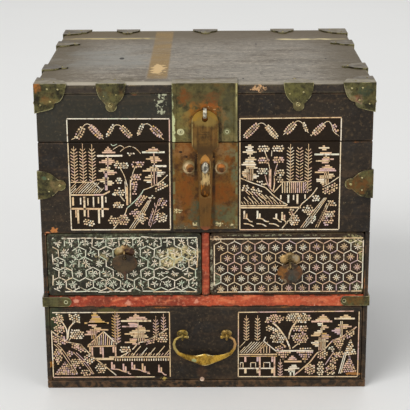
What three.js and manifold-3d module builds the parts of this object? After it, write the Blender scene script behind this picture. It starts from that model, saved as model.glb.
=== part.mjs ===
// A small lacquered cosmetic box: a hinged lid over an open compartment, two small drawers side by
// side and one wide drawer below, with brass corner mounts, a hasp and hanging pulls.
// Millimetres, +Z up. The origin is the middle of the underside and the front faces -Y.

import * as THREE from "three";
import { mergeVertices } from "three/addons/utils/BufferGeometryUtils.js";
import Module from "manifold-3d";

const wasm = await Module();
wasm.setup();

// The case
const WIDTH = 260;
const DEPTH = 244;
const HEIGHT = 253;
const WALL = 8; // side, front and back boards
const LID_TOP = 7.2; // the lid's top board
const LID_HEIGHT = 45.3; // from the parting line to the lid's top
const BASE = 6.6; // the bottom board
const SEAM = 0.2; // glue line between two fixed boards
const PARTING = 0.4; // gap between the lid and the body
const ARRIS = 0.6; // worn edge of every board

// The drawers and what they run in
const RUN = 0.4; // running gap round a drawer
const LIP = 3.5; // what is left of a side board beside the drawer fronts
const WIDE_BAY = 64.6; // height of the bottom drawer's bay
const RAIL = 9.3; // the red shelf between the drawers
const SMALL_BAY = 53; // height of the small drawers' bay
const FLOOR = 6; // floor of the top compartment
const DIVIDER = 6; // the upright between the small drawers
const DRAWER_FRONT = 10;
const DRAWER_SIDE = 6;
const DRAWER_BACK = 5;
const DRAWER_BOTTOM = 3.5;
const BOTTOM_LIFT = 1; // a drawer's bottom sits this far above its sides' lower edges
const REAR_ROOM = 4; // free space behind a closed drawer
const SMALL_SIDE_DROP = 6; // a drawer's sides stop this far below its front's top edge
const WIDE_SIDE_DROP = 9;

// Sheet brass
const SHEET = 1.1;
const MOUNT_SEAT = 0.2; // between a brass mount and the board under it
const CORNER_REACH = 24;
const CORNER_DROP = 22;
const LEAF_WIDTH = 23;
const LEAF_FRONT = 21; // length of an edge mount down the face
const LEAF_TOP = 19; // length of an edge mount over the top
const LEAF_TIP = 4.4; // radius of its round tip
const EDGE_MOUNT_X = 72; // the front edge mounts and the hinges, from the middle
const SIDE_MOUNT_FRONT = -56; // the side edge mounts, from the middle of the depth
const SIDE_MOUNT_BACK = 51;
const BODY_MOUNT_BELOW = 34.2; // the body's edge mounts, below the parting line
const RAIL_MOUNT_REACH = 22;
const RAIL_MOUNT_SIDE = 16;
const RAIL_MOUNT_MARGIN = 0.6;

// The hinges at the back
const HINGE_WIDTH = 22;
const HINGE_DROP = 36;
const BARREL = 3; // radius of a knuckle
const PIN = 1.25;
const PIN_PLAY = 0.3;
const KNUCKLES = 5;
const KNUCKLE_PLAY = 0.3;
const BARREL_STANDOFF = 3.6; // from the back face to the pin's axis

// The lock
const PLATE_WIDTH = 50.6;
const PLATE_FOLD = 20; // what the lid's plate reaches over the top
const PLATE_RIB = 3.2; // its raised side borders
const RIB_HEIGHT = 0.5;
const LOCK_PLATE_TALL = 70.2;
const HASP = 1.4; // thickness
const HASP_AXIS_BELOW_TOP = 21.5;
const HASP_STANDOFF = 2.8; // from the plate's face to the hasp's axis
const HASP_HEAD = 2.2; // above the axis
const HASP_ARCH = 6.9; // from the axis down to the foot of its round head
const HASP_WIDE = 20.6;
const HASP_WIDE_LENGTH = 27.4; // below the axis
const HASP_SHOULDER = 2.2;
const TONGUE = 11.6; // its width under the shoulders
const TONGUE_END = 8; // its width at the round end
const TONGUE_LENGTH = 94.3; // below the axis
const SLOT = 7;
const SLOT_TOP = 32.7; // below the axis
const SLOT_POINT = 5; // height of its pointed top
const SLOT_LENGTH = 34.8;
const EYE_RADIUS = 3.4; // from the axis to the middle of the strip
const EYE_STRIP = 1.5; // thickness of the strip that the eye is bent from
const EYE_WIDE = 2.8;
const HASP_HOLE = 2.2; // radius of the two ends of the eye's long hole
const HASP_HOLE_TOP = 1.95; // below the axis
const HASP_HOLE_TALL = 5.1;
const SHANK_LENGTH = 6;
const HOLE_PLAY = 0.3; // round a shank in its board
const CATCH_BELOW_AXIS = 43.8;
const CATCH_TALL = 9.5;
const CATCH_WIDE = 5.8;
const CATCH_PROUD = 4; // beyond the lock plate
const STUD_X = 12.4;
const STUD_BELOW_AXIS = 43.9;
const STUD_WASHER = 5.7;
const STUD_DOME = 4;

// The pulls
const BAIL_SPAN = 49.6; // between the middles of its two bends
const BAIL_DROP = 20; // from its ends' axis to the middle of its grip
const BAIL_GRIP = 10.2; // height of its swollen middle
const BAIL_THICK = 1.15; // half its thickness from front to back
const BAIL_END = 1; // radius of the ends in the posts
const BAIL_X = -1.3; // the bail hangs a little to the left of the middle
const BAIL_AXIS_Z = 46.6;
const BAIL_STANDOFF = 4.6;
const POST_X = 17.8;
const POST_HOLE_PLAY = 0.35;
const POST_WIRE = 0.85;
const ROSETTE_WIDE = 9.2;
const ROSETTE_TALL = 6.8;
const ROSETTE_RISE = 2.2;
const ROSETTE_ABOVE = 1.3;
const PENDANT = 1.6; // thickness of a leaf-shaped pull
const PENDANT_WIDTH = 20.4;
const PENDANT_BODY = 16.2; // from the ring's middle to the foot of its tip
const PENDANT_TOP = 0.85; // above the ring's middle
const PENDANT_STANDOFF = 3.4;
const RING = 2.8;
const RING_WIRE = 0.8;
const PENDANT_HOLE = 1.45;
const PULL_LEFT = { x: -64.4, z: 116.5, tip: 5, bossRise: 1.5 };
const PULL_RIGHT = { x: 67.1, z: 108, tip: 0.6, bossRise: 3.2 };

// Levels and faces that follow from the sizes above
const FRONT = -DEPTH / 2;
const BACK = DEPTH / 2;
const SIDE = WIDTH / 2;
const INNER = SIDE - WALL;
const SPLIT = HEIGHT - LID_HEIGHT;
const BODY_TOP = SPLIT - PARTING / 2;
const RAIL_LOW = BASE + WIDE_BAY;
const RAIL_TOP = RAIL_LOW + RAIL;
const BAY_TOP = RAIL_TOP + SMALL_BAY;
const FRONT_INSIDE = FRONT + WALL;
const BACK_INSIDE = BACK - WALL;
const REBATE_BACK = FRONT + DRAWER_FRONT + RUN;
const PLATE_FACE = FRONT - MOUNT_SEAT - SHEET;
const HASP_Z = HEIGHT - HASP_AXIS_BELOW_TOP;
const HASP_Y = PLATE_FACE - HASP_STANDOFF;
const RIM = MOUNT_SEAT + SHEET; // from a board's face to the outside of a mount

const lacquer = (color) => new THREE.MeshStandardMaterial({ color, roughness: 0.5, metalness: 0 });
const brass = (color) => new THREE.MeshStandardMaterial({ color, roughness: 0.55, metalness: 0.8 });
const BLACK = 0x332c28;
const WEATHERED = 0x7d766b;
const RED = 0xb5492f;
const BARE_WOOD = 0x9a7a55;
const OLIVE = 0x5d5637;
const RUSTY = 0x74502c;
const YELLOW = 0x9a8640;
const WHITE_METAL = 0xb4b4ac;

const box = new THREE.Group();
const carcass = new THREE.Group();
const lid = new THREE.Group();
box.add(carcass, lid);

function solid(geometry) {
  const bare = geometry.clone();
  bare.deleteAttribute("normal");
  bare.deleteAttribute("uv");
  const merged = mergeVertices(bare, 1e-4);
  return new wasm.Manifold(
    new wasm.Mesh({
      numProp: 3,
      vertProperties: merged.attributes.position.array,
      triVerts: new Uint32Array(merged.index.array),
    }),
  );
}

function geometryOf(manifold) {
  const mesh = manifold.getMesh();
  const indexed = new THREE.BufferGeometry();
  indexed.setAttribute("position", new THREE.BufferAttribute(mesh.vertProperties, 3));
  indexed.setIndex(new THREE.BufferAttribute(mesh.triVerts, 1));
  const flat = indexed.toNonIndexed();
  flat.computeVertexNormals();
  return flat;
}

const joined = (...parts) => parts.map(solid).reduce((whole, part) => whole.add(part));

function place(parent, name, geometry, material, x = 0, y = 0, z = 0) {
  const mesh = new THREE.Mesh(geometry, material);
  mesh.name = name;
  mesh.position.set(x, y, z);
  parent.add(mesh);
  return mesh;
}

// A flat piece of the given outline, lying in XY with its thickness along +Z
function sheet(shape, thickness, curveSegments = 6) {
  return new THREE.ExtrudeGeometry(shape, { depth: thickness, bevelEnabled: false, curveSegments });
}

// The same piece stood on its edge, so that its outline lies in XZ and its thickness along -Y
const upright = (shape, thickness, segments) => sheet(shape, thickness, segments).rotateX(Math.PI / 2);

// A shape's points put through a function, as a new shape
function mapped(shape, change, segments = 6) {
  return new THREE.Shape(shape.getPoints(segments).map(change));
}

// A block with its twelve edges worn, centred on its own origin
function wornBlock(width, depth, height) {
  const x = width / 2 - ARRIS;
  const y = depth / 2 - ARRIS;
  const nick = ARRIS / 2;
  const outline = new THREE.Shape([
    new THREE.Vector2(-x + nick, -y),
    new THREE.Vector2(x - nick, -y),
    new THREE.Vector2(x, -y + nick),
    new THREE.Vector2(x, y - nick),
    new THREE.Vector2(x - nick, y),
    new THREE.Vector2(-x + nick, y),
    new THREE.Vector2(-x, y - nick),
    new THREE.Vector2(-x, -y + nick),
  ]);
  const geometry = new THREE.ExtrudeGeometry(outline, {
    depth: height - 2 * ARRIS,
    bevelEnabled: true,
    bevelSegments: 1,
    bevelSize: ARRIS,
    bevelThickness: ARRIS,
  });
  return geometry.translate(0, 0, ARRIS - height / 2);
}

// A board between two opposite corners, with anything in cuts taken out of it
function board(parent, name, low, high, material, cuts = []) {
  const size = high.map((value, i) => value - low[i]);
  const middle = high.map((value, i) => (value + low[i]) / 2);
  let geometry = wornBlock(...size);
  if (cuts.length > 0) {
    let body = solid(geometry.translate(...middle));
    for (const cut of cuts) body = body.subtract(solid(cut));
    geometry = geometryOf(body).translate(-middle[0], -middle[1], -middle[2]);
  }
  return place(parent, name, geometry, material, ...middle);
}

function blockBetween(low, high) {
  const size = high.map((value, i) => value - low[i]);
  const middle = high.map((value, i) => (value + low[i]) / 2);
  return new THREE.BoxGeometry(...size).translate(...middle);
}

// A round hole or shank along Y, from y to y + length
function rodAlongY(radius, x, y, z, length, sides = 10) {
  const rod = new THREE.CylinderGeometry(radius, radius, length, sides);
  return rod.translate(x, y + length / 2, z);
}

// Body: bottom board, sides with a rebate for the drawer fronts, back and front boards
board(carcass, "base_board", [-SIDE, FRONT, 0], [SIDE, BACK, BASE], lacquer(BLACK));
board(
  carcass,
  "back_board",
  [-SIDE, BACK_INSIDE, BASE + SEAM],
  [SIDE, BACK, BODY_TOP],
  lacquer(BLACK),
);

for (const [name, hand] of [["side_board_left", -1], ["side_board_right", 1]]) {
  const across = (a, b) => [Math.min(hand * a, hand * b), Math.max(hand * a, hand * b)];
  const [outLow, outHigh] = across(INNER, SIDE);
  const [lipLow, lipHigh] = across(INNER - WALL, SIDE - LIP);
  const [allLow, allHigh] = across(INNER - WALL, SIDE + WALL);
  const rebate = blockBetween(
    [lipLow, FRONT - WALL, 0],
    [lipHigh, REBATE_BACK, BAY_TOP],
  );
  const seat = blockBetween(
    [allLow, FRONT - WALL, BAY_TOP - SEAM],
    [allHigh, FRONT_INSIDE + SEAM, BODY_TOP + WALL],
  );
  board(
    carcass,
    name,
    [outLow, FRONT, BASE + SEAM],
    [outHigh, BACK_INSIDE - SEAM, BODY_TOP],
    lacquer(BLACK),
    [rebate, seat],
  );
}

board(
  carcass,
  "front_board",
  [-SIDE, FRONT, BAY_TOP],
  [SIDE, FRONT_INSIDE, BODY_TOP],
  lacquer(BLACK),
  [rodAlongY(CATCH_WIDE / 2 - HOLE_PLAY, 0, FRONT - 1, HASP_Z - CATCH_BELOW_AXIS, SHANK_LENGTH + 1)],
);
board(
  carcass,
  "compartment_floor",
  [-INNER + SEAM, FRONT_INSIDE + SEAM, BAY_TOP],
  [INNER - SEAM, BACK_INSIDE - SEAM, BAY_TOP + FLOOR],
  lacquer(BARE_WOOD),
);

// The red shelf has ears that fill the rebates at the front, and the divider stands on it
const ear = SIDE - LIP - SEAM;
const tenon = INNER - SEAM;
const earBack = REBATE_BACK - SEAM;
const shelfOutline = new THREE.Shape([
  new THREE.Vector2(-ear, FRONT),
  new THREE.Vector2(ear, FRONT),
  new THREE.Vector2(ear, earBack),
  new THREE.Vector2(tenon, earBack),
  new THREE.Vector2(tenon, BACK_INSIDE - SEAM),
  new THREE.Vector2(-tenon, BACK_INSIDE - SEAM),
  new THREE.Vector2(-tenon, earBack),
  new THREE.Vector2(-ear, earBack),
]);
place(carcass, "drawer_shelf", sheet(shelfOutline, RAIL), lacquer(RED), 0, 0, RAIL_LOW);
board(
  carcass,
  "drawer_divider",
  [-DIVIDER / 2, FRONT, RAIL_TOP + SEAM],
  [DIVIDER / 2, BACK_INSIDE - SEAM, BAY_TOP - SEAM],
  lacquer(RED),
);

// Lid: four walls under a top board
const LID_LOW = SPLIT + PARTING / 2;
const LID_WALL_TOP = HEIGHT - LID_TOP - SEAM;
const eyeOuter = EYE_RADIUS + EYE_STRIP / 2;
const eyeInner = EYE_RADIUS - EYE_STRIP / 2;
const legOuter = Math.sqrt(eyeOuter ** 2 - (HASP_STANDOFF - HOLE_PLAY) ** 2);
const legInner = legOuter - EYE_STRIP;
const eyeHoles = [[-legOuter, -legInner], [legInner, legOuter]].map(([low, high]) => {
  const half = EYE_WIDE / 2 + HOLE_PLAY;
  return blockBetween(
    [-half, PLATE_FACE - RIB_HEIGHT - 1, HASP_Z + low - HOLE_PLAY],
    [half, FRONT + SHANK_LENGTH + HOLE_PLAY, HASP_Z + high + HOLE_PLAY],
  );
});
board(lid, "lid_top_board", [-SIDE, FRONT, HEIGHT - LID_TOP], [SIDE, BACK, HEIGHT], lacquer(WEATHERED));
board(
  lid,
  "lid_front_board",
  [-SIDE, FRONT, LID_LOW],
  [SIDE, FRONT_INSIDE, LID_WALL_TOP],
  lacquer(BLACK),
  eyeHoles,
);
board(lid, "lid_back_board", [-SIDE, BACK_INSIDE, LID_LOW], [SIDE, BACK, LID_WALL_TOP], lacquer(BLACK));
board(
  lid,
  "lid_side_left",
  [-SIDE, FRONT_INSIDE + SEAM, LID_LOW],
  [-INNER, BACK_INSIDE - SEAM, LID_WALL_TOP],
  lacquer(BLACK),
);
board(
  lid,
  "lid_side_right",
  [INNER, FRONT_INSIDE + SEAM, LID_LOW],
  [SIDE, BACK_INSIDE - SEAM, LID_WALL_TOP],
  lacquer(BLACK),
);

// Corner mounts: three scalloped faces that meet over a corner of the lid.
// The corner of the box is at the mount's own origin, and the box lies towards +X, +Y and -Z.
function scallop(reach, drop) {
  const shape = new THREE.Shape();
  shape.moveTo(-RIM, -RIM);
  shape.lineTo(reach, -RIM);
  shape.bezierCurveTo(
    reach * 0.93, drop * 0.34,
    reach * 0.86, drop * 0.62,
    reach * 0.6, drop * 0.64,
  );
  shape.bezierCurveTo(
    reach * 0.66, drop * 0.9,
    reach * 0.3, drop * 0.88,
    -RIM, drop,
  );
  shape.closePath();
  return shape;
}

function cornerMount(name, x, y, turn) {
  const down = mapped(scallop(CORNER_REACH, CORNER_DROP), (p) => new THREE.Vector2(p.x, -p.y));
  const flat = scallop(CORNER_REACH, CORNER_REACH);
  const front = upright(down, SHEET).translate(0, -MOUNT_SEAT, 0);
  const side = upright(down, SHEET).rotateZ(Math.PI / 2).translate(-RIM, 0, 0);
  const top = sheet(flat, SHEET).translate(0, 0, MOUNT_SEAT);
  const mount = place(lid, name, geometryOf(joined(front, side, top)), brass(OLIVE), x, y, HEIGHT);
  mount.rotation.z = turn;
}

cornerMount("corner_mount_front_left", -SIDE, FRONT, 0);
cornerMount("corner_mount_front_right", SIDE, FRONT, Math.PI / 2);
cornerMount("corner_mount_back_right", SIDE, BACK, Math.PI);
cornerMount("corner_mount_back_left", -SIDE, BACK, -Math.PI / 2);

// Edge mounts: a leaf with a waisted round tip down each of the two faces that meet at an edge.
// The edge runs along the mount's own X, and the box lies towards +Y and -Z.
function leaf(width, length) {
  const half = width / 2;
  const tipY = LEAF_TIP - length;
  const shape = new THREE.Shape();
  shape.moveTo(-half, RIM);
  shape.lineTo(-half, 0);
  shape.bezierCurveTo(
    -half * 0.95, -length * 0.45,
    -half * 0.72, -length * 0.52,
    -LEAF_TIP * 0.95, tipY + LEAF_TIP * 0.31,
  );
  shape.absarc(0, tipY, LEAF_TIP, Math.PI * 0.9, Math.PI * 2.1, false);
  shape.bezierCurveTo(half * 0.72, -length * 0.52, half * 0.95, -length * 0.45, half, 0);
  shape.lineTo(half, RIM);
  shape.closePath();
  return shape;
}

function edgeMountGeometry() {
  const over = mapped(leaf(LEAF_WIDTH, LEAF_TOP), (p) => new THREE.Vector2(p.x, -p.y), 5);
  const face = mapped(leaf(LEAF_WIDTH, LEAF_FRONT), (p) => p, 5);
  return geometryOf(
    joined(upright(face, SHEET).translate(0, -MOUNT_SEAT, 0), sheet(over, SHEET).translate(0, 0, MOUNT_SEAT)),
  );
}

const edgeMounts = [
  [lid, "edge_mount_front_left", -EDGE_MOUNT_X, FRONT, HEIGHT, 0, 0],
  [lid, "edge_mount_front_right", EDGE_MOUNT_X, FRONT, HEIGHT, 0, 0],
  [lid, "edge_mount_back", 0, BACK, HEIGHT, 0, Math.PI],
  [lid, "side_mount_left_front", -SIDE, SIDE_MOUNT_FRONT, HEIGHT, 0, -Math.PI / 2],
  [lid, "side_mount_left_back", -SIDE, SIDE_MOUNT_BACK, HEIGHT, 0, -Math.PI / 2],
  [lid, "side_mount_right_front", SIDE, SIDE_MOUNT_FRONT, HEIGHT, 0, Math.PI / 2],
  [lid, "side_mount_right_back", SIDE, SIDE_MOUNT_BACK, HEIGHT, 0, Math.PI / 2],
  [carcass, "body_mount_left", -SIDE, FRONT, SPLIT - BODY_MOUNT_BELOW, -Math.PI / 2, 0],
  [carcass, "body_mount_right", SIDE, FRONT, SPLIT - BODY_MOUNT_BELOW, Math.PI / 2, 0],
];
for (const [parent, name, x, y, z, turnY, turnZ] of edgeMounts) {
  const mount = place(parent, name, edgeMountGeometry(), brass(OLIVE), x, y, z);
  mount.rotation.set(0, turnY, turnZ);
}

// Rail mounts: a strap round each end of the red rail, with a round end on the front
for (const [name, hand] of [["rail_mount_left", -1], ["rail_mount_right", 1]]) {
  const half = RAIL / 2 - RAIL_MOUNT_MARGIN;
  const strap = new THREE.Shape();
  strap.moveTo(-RIM, -half);
  strap.lineTo(RAIL_MOUNT_REACH - half, -half);
  strap.absarc(RAIL_MOUNT_REACH - half, 0, half, -Math.PI / 2, Math.PI / 2, false);
  strap.lineTo(-RIM, half);
  strap.closePath();
  const front = upright(strap, SHEET, 8).translate(0, -MOUNT_SEAT, 0);
  const side = blockBetween([-RIM, -RIM, -half], [-MOUNT_SEAT, RAIL_MOUNT_SIDE, half]);
  const geometry = geometryOf(joined(front, side));
  const mount = place(carcass, name, geometry, brass(OLIVE), hand * SIDE, FRONT, RAIL_LOW + RAIL / 2);
  if (hand > 0) mount.scale.x = -1;
}

// Strap hinges: the pin runs in the lower leaf's knuckles, and the upper leaf folds over the top
const KNUCKLE = HINGE_WIDTH / KNUCKLES;

function barrel(radius, from, to, sides = 14) {
  const cylinder = new THREE.CylinderGeometry(radius, radius, to - from, sides);
  return cylinder.rotateZ(Math.PI / 2).translate((from + to) / 2, 0, 0);
}

function hingeLeaf(plates, own, other, withPin) {
  const start = (i) => -HINGE_WIDTH / 2 + i * KNUCKLE;
  let whole = joined(...plates);
  for (const i of other) {
    const clear = barrel(BARREL + KNUCKLE_PLAY, start(i) - KNUCKLE_PLAY / 2, start(i + 1) + KNUCKLE_PLAY / 2);
    whole = whole.subtract(solid(clear));
  }
  for (const i of own) {
    const from = start(i) + (i > 0 ? KNUCKLE_PLAY / 2 : 0);
    const to = start(i + 1) - (i < KNUCKLES - 1 ? KNUCKLE_PLAY / 2 : 0);
    whole = whole.add(solid(barrel(BARREL, from, to)));
  }
  if (withPin) return whole.add(solid(barrel(PIN, -HINGE_WIDTH / 2, HINGE_WIDTH / 2, 10)));
  return whole.subtract(solid(barrel(PIN + PIN_PLAY, -HINGE_WIDTH, HINGE_WIDTH, 10)));
}

const leafNear = MOUNT_SEAT - BARREL_STANDOFF;
const leafFar = RIM - BARREL_STANDOFF;
const HINGE_Y = BACK + BARREL_STANDOFF;
for (const [side, hand] of [["left", -1], ["right", 1]]) {
  const half = HINGE_WIDTH / 2;
  const over = mapped(leaf(HINGE_WIDTH, LEAF_TOP), (p) => p, 5);
  const upper = [
    blockBetween([-half, leafNear, PARTING / 2], [half, leafFar, LID_HEIGHT + RIM]),
    sheet(over, SHEET).translate(0, -BARREL_STANDOFF, LID_HEIGHT + MOUNT_SEAT),
  ];
  const tail = mapped(leaf(HINGE_WIDTH, HINGE_DROP), (p) => new THREE.Vector2(p.x, Math.min(p.y, 0)), 5);
  const lower = [upright(tail, SHEET).translate(0, leafFar, 0)];
  const at = [hand * EDGE_MOUNT_X, HINGE_Y, SPLIT];
  place(lid, "hinge_upper_" + side, geometryOf(hingeLeaf(upper, [1, 3], [0, 2, 4], false)), brass(OLIVE), ...at);
  place(
    carcass,
    "hinge_lower_" + side,
    geometryOf(hingeLeaf(lower, [0, 2, 4], [1, 3], true)),
    brass(OLIVE),
    ...at,
  );
}

// Lid plate: brass over the front and the top's edge, with raised side borders
const plateHalf = PLATE_WIDTH / 2;
const lidPlateLow = LID_LOW + MOUNT_SEAT;
let lidPlate = joined(
  blockBetween([-plateHalf, PLATE_FACE, lidPlateLow], [plateHalf, FRONT - MOUNT_SEAT, HEIGHT + RIM]),
  blockBetween([-plateHalf, PLATE_FACE, HEIGHT + MOUNT_SEAT], [plateHalf, FRONT + PLATE_FOLD, HEIGHT + RIM]),
  ...[-1, 1].map((side) =>
    blockBetween(
      [Math.min(side * plateHalf, side * (plateHalf - PLATE_RIB)), PLATE_FACE - RIB_HEIGHT, lidPlateLow],
      [Math.max(side * plateHalf, side * (plateHalf - PLATE_RIB)), PLATE_FACE + SHEET / 2, HEIGHT + RIM],
    ),
  ),
);
for (const hole of eyeHoles) lidPlate = lidPlate.subtract(solid(hole));
place(lid, "lid_plate", geometryOf(lidPlate), brass(RUSTY));

// Eye: a flat strip bent into a loop in the YZ plane, whose two legs run back into the lid
const legEnd = HASP_STANDOFF + RIM + SHANK_LENGTH;
const outerTurn = Math.asin(legOuter / eyeOuter);
const innerTurn = Math.asin(legInner / eyeInner);
const loop = new THREE.Shape();
loop.moveTo(legEnd, -legOuter);
loop.absarc(0, 0, eyeOuter, -outerTurn, outerTurn, true);
loop.lineTo(legEnd, legOuter);
loop.lineTo(legEnd, legInner);
loop.absarc(0, 0, eyeInner, innerTurn, -innerTurn, false);
loop.lineTo(legEnd, -legInner);
loop.closePath();
const eyeEdge = 0.3;
const eye = new THREE.ExtrudeGeometry(loop, {
  depth: EYE_WIDE - 2 * eyeEdge,
  bevelEnabled: true,
  bevelSegments: 1,
  bevelSize: eyeEdge,
  bevelThickness: eyeEdge,
  bevelOffset: -eyeEdge,
  curveSegments: 9,
});
eye.translate(0, 0, eyeEdge - EYE_WIDE / 2).rotateZ(Math.PI / 2).rotateY(Math.PI / 2);
place(lid, "hasp_eye", eye, brass(WHITE_METAL), 0, HASP_Y, HASP_Z);

// Lock plate with its two domed studs, and the catch that the hasp's slot drops over
function domedStud(x, z) {
  const profile = [new THREE.Vector2(0, -SHEET / 2), new THREE.Vector2(STUD_WASHER, -SHEET / 2)];
  profile.push(new THREE.Vector2(STUD_WASHER, SHEET / 2), new THREE.Vector2(STUD_DOME + 0.6, SHEET));
  for (const turn of [0.05, 0.3, 0.6, 0.85]) {
    const angle = (turn * Math.PI) / 2;
    profile.push(new THREE.Vector2(STUD_DOME * Math.cos(angle), SHEET + STUD_DOME * 0.75 * Math.sin(angle)));
  }
  profile.push(new THREE.Vector2(0, SHEET + STUD_DOME * 0.75));
  const stud = new THREE.LatheGeometry(profile, 12);
  return stud.rotateX(Math.PI).translate(x, PLATE_FACE, z);
}

const lockPlateTop = BODY_TOP - MOUNT_SEAT;
const catchHole = rodAlongY(CATCH_WIDE / 2 + HOLE_PLAY, 0, PLATE_FACE - 1, HASP_Z - CATCH_BELOW_AXIS, 4, 12);
const lockPlate = joined(
  blockBetween(
    [-plateHalf, PLATE_FACE, lockPlateTop - LOCK_PLATE_TALL],
    [plateHalf, FRONT - MOUNT_SEAT, lockPlateTop],
  ),
  domedStud(-STUD_X, HASP_Z - STUD_BELOW_AXIS),
  domedStud(STUD_X, HASP_Z - STUD_BELOW_AXIS),
).subtract(solid(catchHole));
place(carcass, "lock_plate", geometryOf(lockPlate), brass(RUSTY));

const catchHead = new THREE.SphereGeometry(1, 14, 8).scale(CATCH_WIDE / 2, 2, CATCH_TALL / 2);
const catchFace = PLATE_FACE - CATCH_PROUD + 2;
const catchShank = rodAlongY(
  CATCH_WIDE / 2 - 2 * HOLE_PLAY,
  0,
  catchFace,
  0,
  FRONT + SHANK_LENGTH - catchFace - HOLE_PLAY,
);
catchHead.translate(0, catchFace, 0);
const catchBody = new THREE.CylinderGeometry(1, 1, CATCH_PROUD - 2 - MOUNT_SEAT, 14);
catchBody.scale(CATCH_WIDE / 2, 1, CATCH_TALL / 2);
catchBody.translate(0, catchFace + (CATCH_PROUD - 2 - MOUNT_SEAT) / 2, 0);
place(
  carcass,
  "catch_stud",
  geometryOf(joined(catchBody, catchShank).add(solid(catchHead))),
  brass(WHITE_METAL),
  0,
  0,
  HASP_Z - CATCH_BELOW_AXIS,
);

// Hasp: a round head, straight sides and a tapered tongue with a pointed slot, hung on the eye
const hasp = new THREE.Shape();
const wide = HASP_WIDE / 2;
const narrow = TONGUE / 2;
const tipHalf = TONGUE_END / 2;
const tipZ = tipHalf - TONGUE_LENGTH;
const shoulderTop = HASP_SHOULDER - HASP_WIDE_LENGTH;
const shoulderFoot = -HASP_SHOULDER - HASP_WIDE_LENGTH;
const swell = (shoulderFoot + tipZ) / 2;
const round = 0.55; // of the way from a quarter round's end to its corner
hasp.moveTo(-wide, -HASP_ARCH);
hasp.lineTo(-wide, shoulderTop);
hasp.quadraticCurveTo(-wide, -HASP_WIDE_LENGTH, -narrow, shoulderFoot);
hasp.quadraticCurveTo(-narrow, swell, -tipHalf, tipZ);
hasp.absarc(0, tipZ, tipHalf, Math.PI, 2 * Math.PI, false);
hasp.quadraticCurveTo(narrow, swell, narrow, shoulderFoot);
hasp.quadraticCurveTo(wide, -HASP_WIDE_LENGTH, wide, shoulderTop);
hasp.lineTo(wide, -HASP_ARCH);
const archRise = HASP_HEAD + HASP_ARCH;
hasp.bezierCurveTo(wide, round * archRise - HASP_ARCH, round * wide, HASP_HEAD, 0, HASP_HEAD);
hasp.bezierCurveTo(-round * wide, HASP_HEAD, -wide, round * archRise - HASP_ARCH, -wide, -HASP_ARCH);
const slot = new THREE.Path();
const slotHalf = SLOT / 2;
const slotShoulder = -SLOT_TOP - SLOT_POINT;
const slotFoot = slotHalf - SLOT_TOP - SLOT_LENGTH;
slot.moveTo(slotHalf, slotShoulder);
slot.quadraticCurveTo(slotHalf, slotShoulder + SLOT_POINT / 2, 0, -SLOT_TOP);
slot.quadraticCurveTo(-slotHalf, slotShoulder + SLOT_POINT / 2, -slotHalf, slotShoulder);
slot.lineTo(-slotHalf, slotFoot);
slot.absarc(0, slotFoot, slotHalf, Math.PI, 2 * Math.PI, false);
slot.closePath();
const eyeHole = new THREE.Path();
const eyeHoleTop = -HASP_HOLE_TOP - HASP_HOLE;
eyeHole.absarc(0, eyeHoleTop, HASP_HOLE, 0, Math.PI, false);
eyeHole.absarc(0, HASP_HOLE - HASP_HOLE_TOP - HASP_HOLE_TALL, HASP_HOLE, Math.PI, 2 * Math.PI, false);
eyeHole.closePath();
hasp.holes.push(slot, eyeHole);
place(box, "hasp", upright(hasp, HASP, 8).translate(0, HASP / 2, 0), brass(RUSTY), 0, HASP_Y, HASP_Z);

// A drawer: a front, two sides, a back between them and a bottom let in above the lower edges
function drawer(name, low, high, frontLow, frontHigh, z, bay, drop, color, holes) {
  const group = new THREE.Group();
  const boxTop = z + bay - RUN - drop;
  const bottomZ = z + RUN;
  const sideFront = FRONT + DRAWER_FRONT + SEAM;
  const sideBack = BACK_INSIDE - REAR_ROOM;
  const insideLow = low + RUN + DRAWER_SIDE;
  const insideHigh = high - RUN - DRAWER_SIDE;
  const backFront = sideBack - DRAWER_BACK;
  const front = [frontLow, FRONT, bottomZ];
  board(group, name + "_front", front, [frontHigh, FRONT + DRAWER_FRONT, z + bay - RUN], lacquer(color), holes);
  board(
    group,
    name + "_side_left",
    [low + RUN, sideFront, bottomZ],
    [insideLow, sideBack, boxTop],
    lacquer(BARE_WOOD),
  );
  board(
    group,
    name + "_side_right",
    [insideHigh, sideFront, bottomZ],
    [high - RUN, sideBack, boxTop],
    lacquer(BARE_WOOD),
  );
  board(
    group,
    name + "_back",
    [insideLow + SEAM, backFront, bottomZ],
    [insideHigh - SEAM, sideBack, boxTop],
    lacquer(BARE_WOOD),
  );
  board(
    group,
    name + "_bottom",
    [insideLow + SEAM, sideFront, bottomZ + BOTTOM_LIFT],
    [insideHigh - SEAM, backFront - SEAM, bottomZ + BOTTOM_LIFT + DRAWER_BOTTOM],
    lacquer(BARE_WOOD),
  );
  box.add(group);
  return group;
}

const SHANK = RING_WIRE + 0.3;
const shankHole = (x, z) => rodAlongY(SHANK + HOLE_PLAY, x, FRONT - 1, z, SHANK_LENGTH + 1 + HOLE_PLAY);
const lipEdge = SIDE - LIP - RUN;
const postHoles = [-POST_X, POST_X].map((x) => shankHole(BAIL_X + x, BAIL_AXIS_Z));
const dividerFace = DIVIDER / 2;
const drawerLeft = drawer(
  "drawer_left",
  -INNER,
  -dividerFace,
  -lipEdge,
  -dividerFace - RUN,
  RAIL_TOP,
  SMALL_BAY,
  SMALL_SIDE_DROP,
  BLACK,
  [shankHole(PULL_LEFT.x, PULL_LEFT.z)],
);
const drawerRight = drawer(
  "drawer_right",
  dividerFace,
  INNER,
  dividerFace + RUN,
  lipEdge,
  RAIL_TOP,
  SMALL_BAY,
  SMALL_SIDE_DROP,
  BLACK,
  [shankHole(PULL_RIGHT.x, PULL_RIGHT.z)],
);
const drawerWide = drawer(
  "drawer_wide",
  -INNER,
  INNER,
  -lipEdge,
  lipEdge,
  BASE,
  WIDE_BAY,
  WIDE_SIDE_DROP,
  BLACK,
  postHoles,
);

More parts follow.
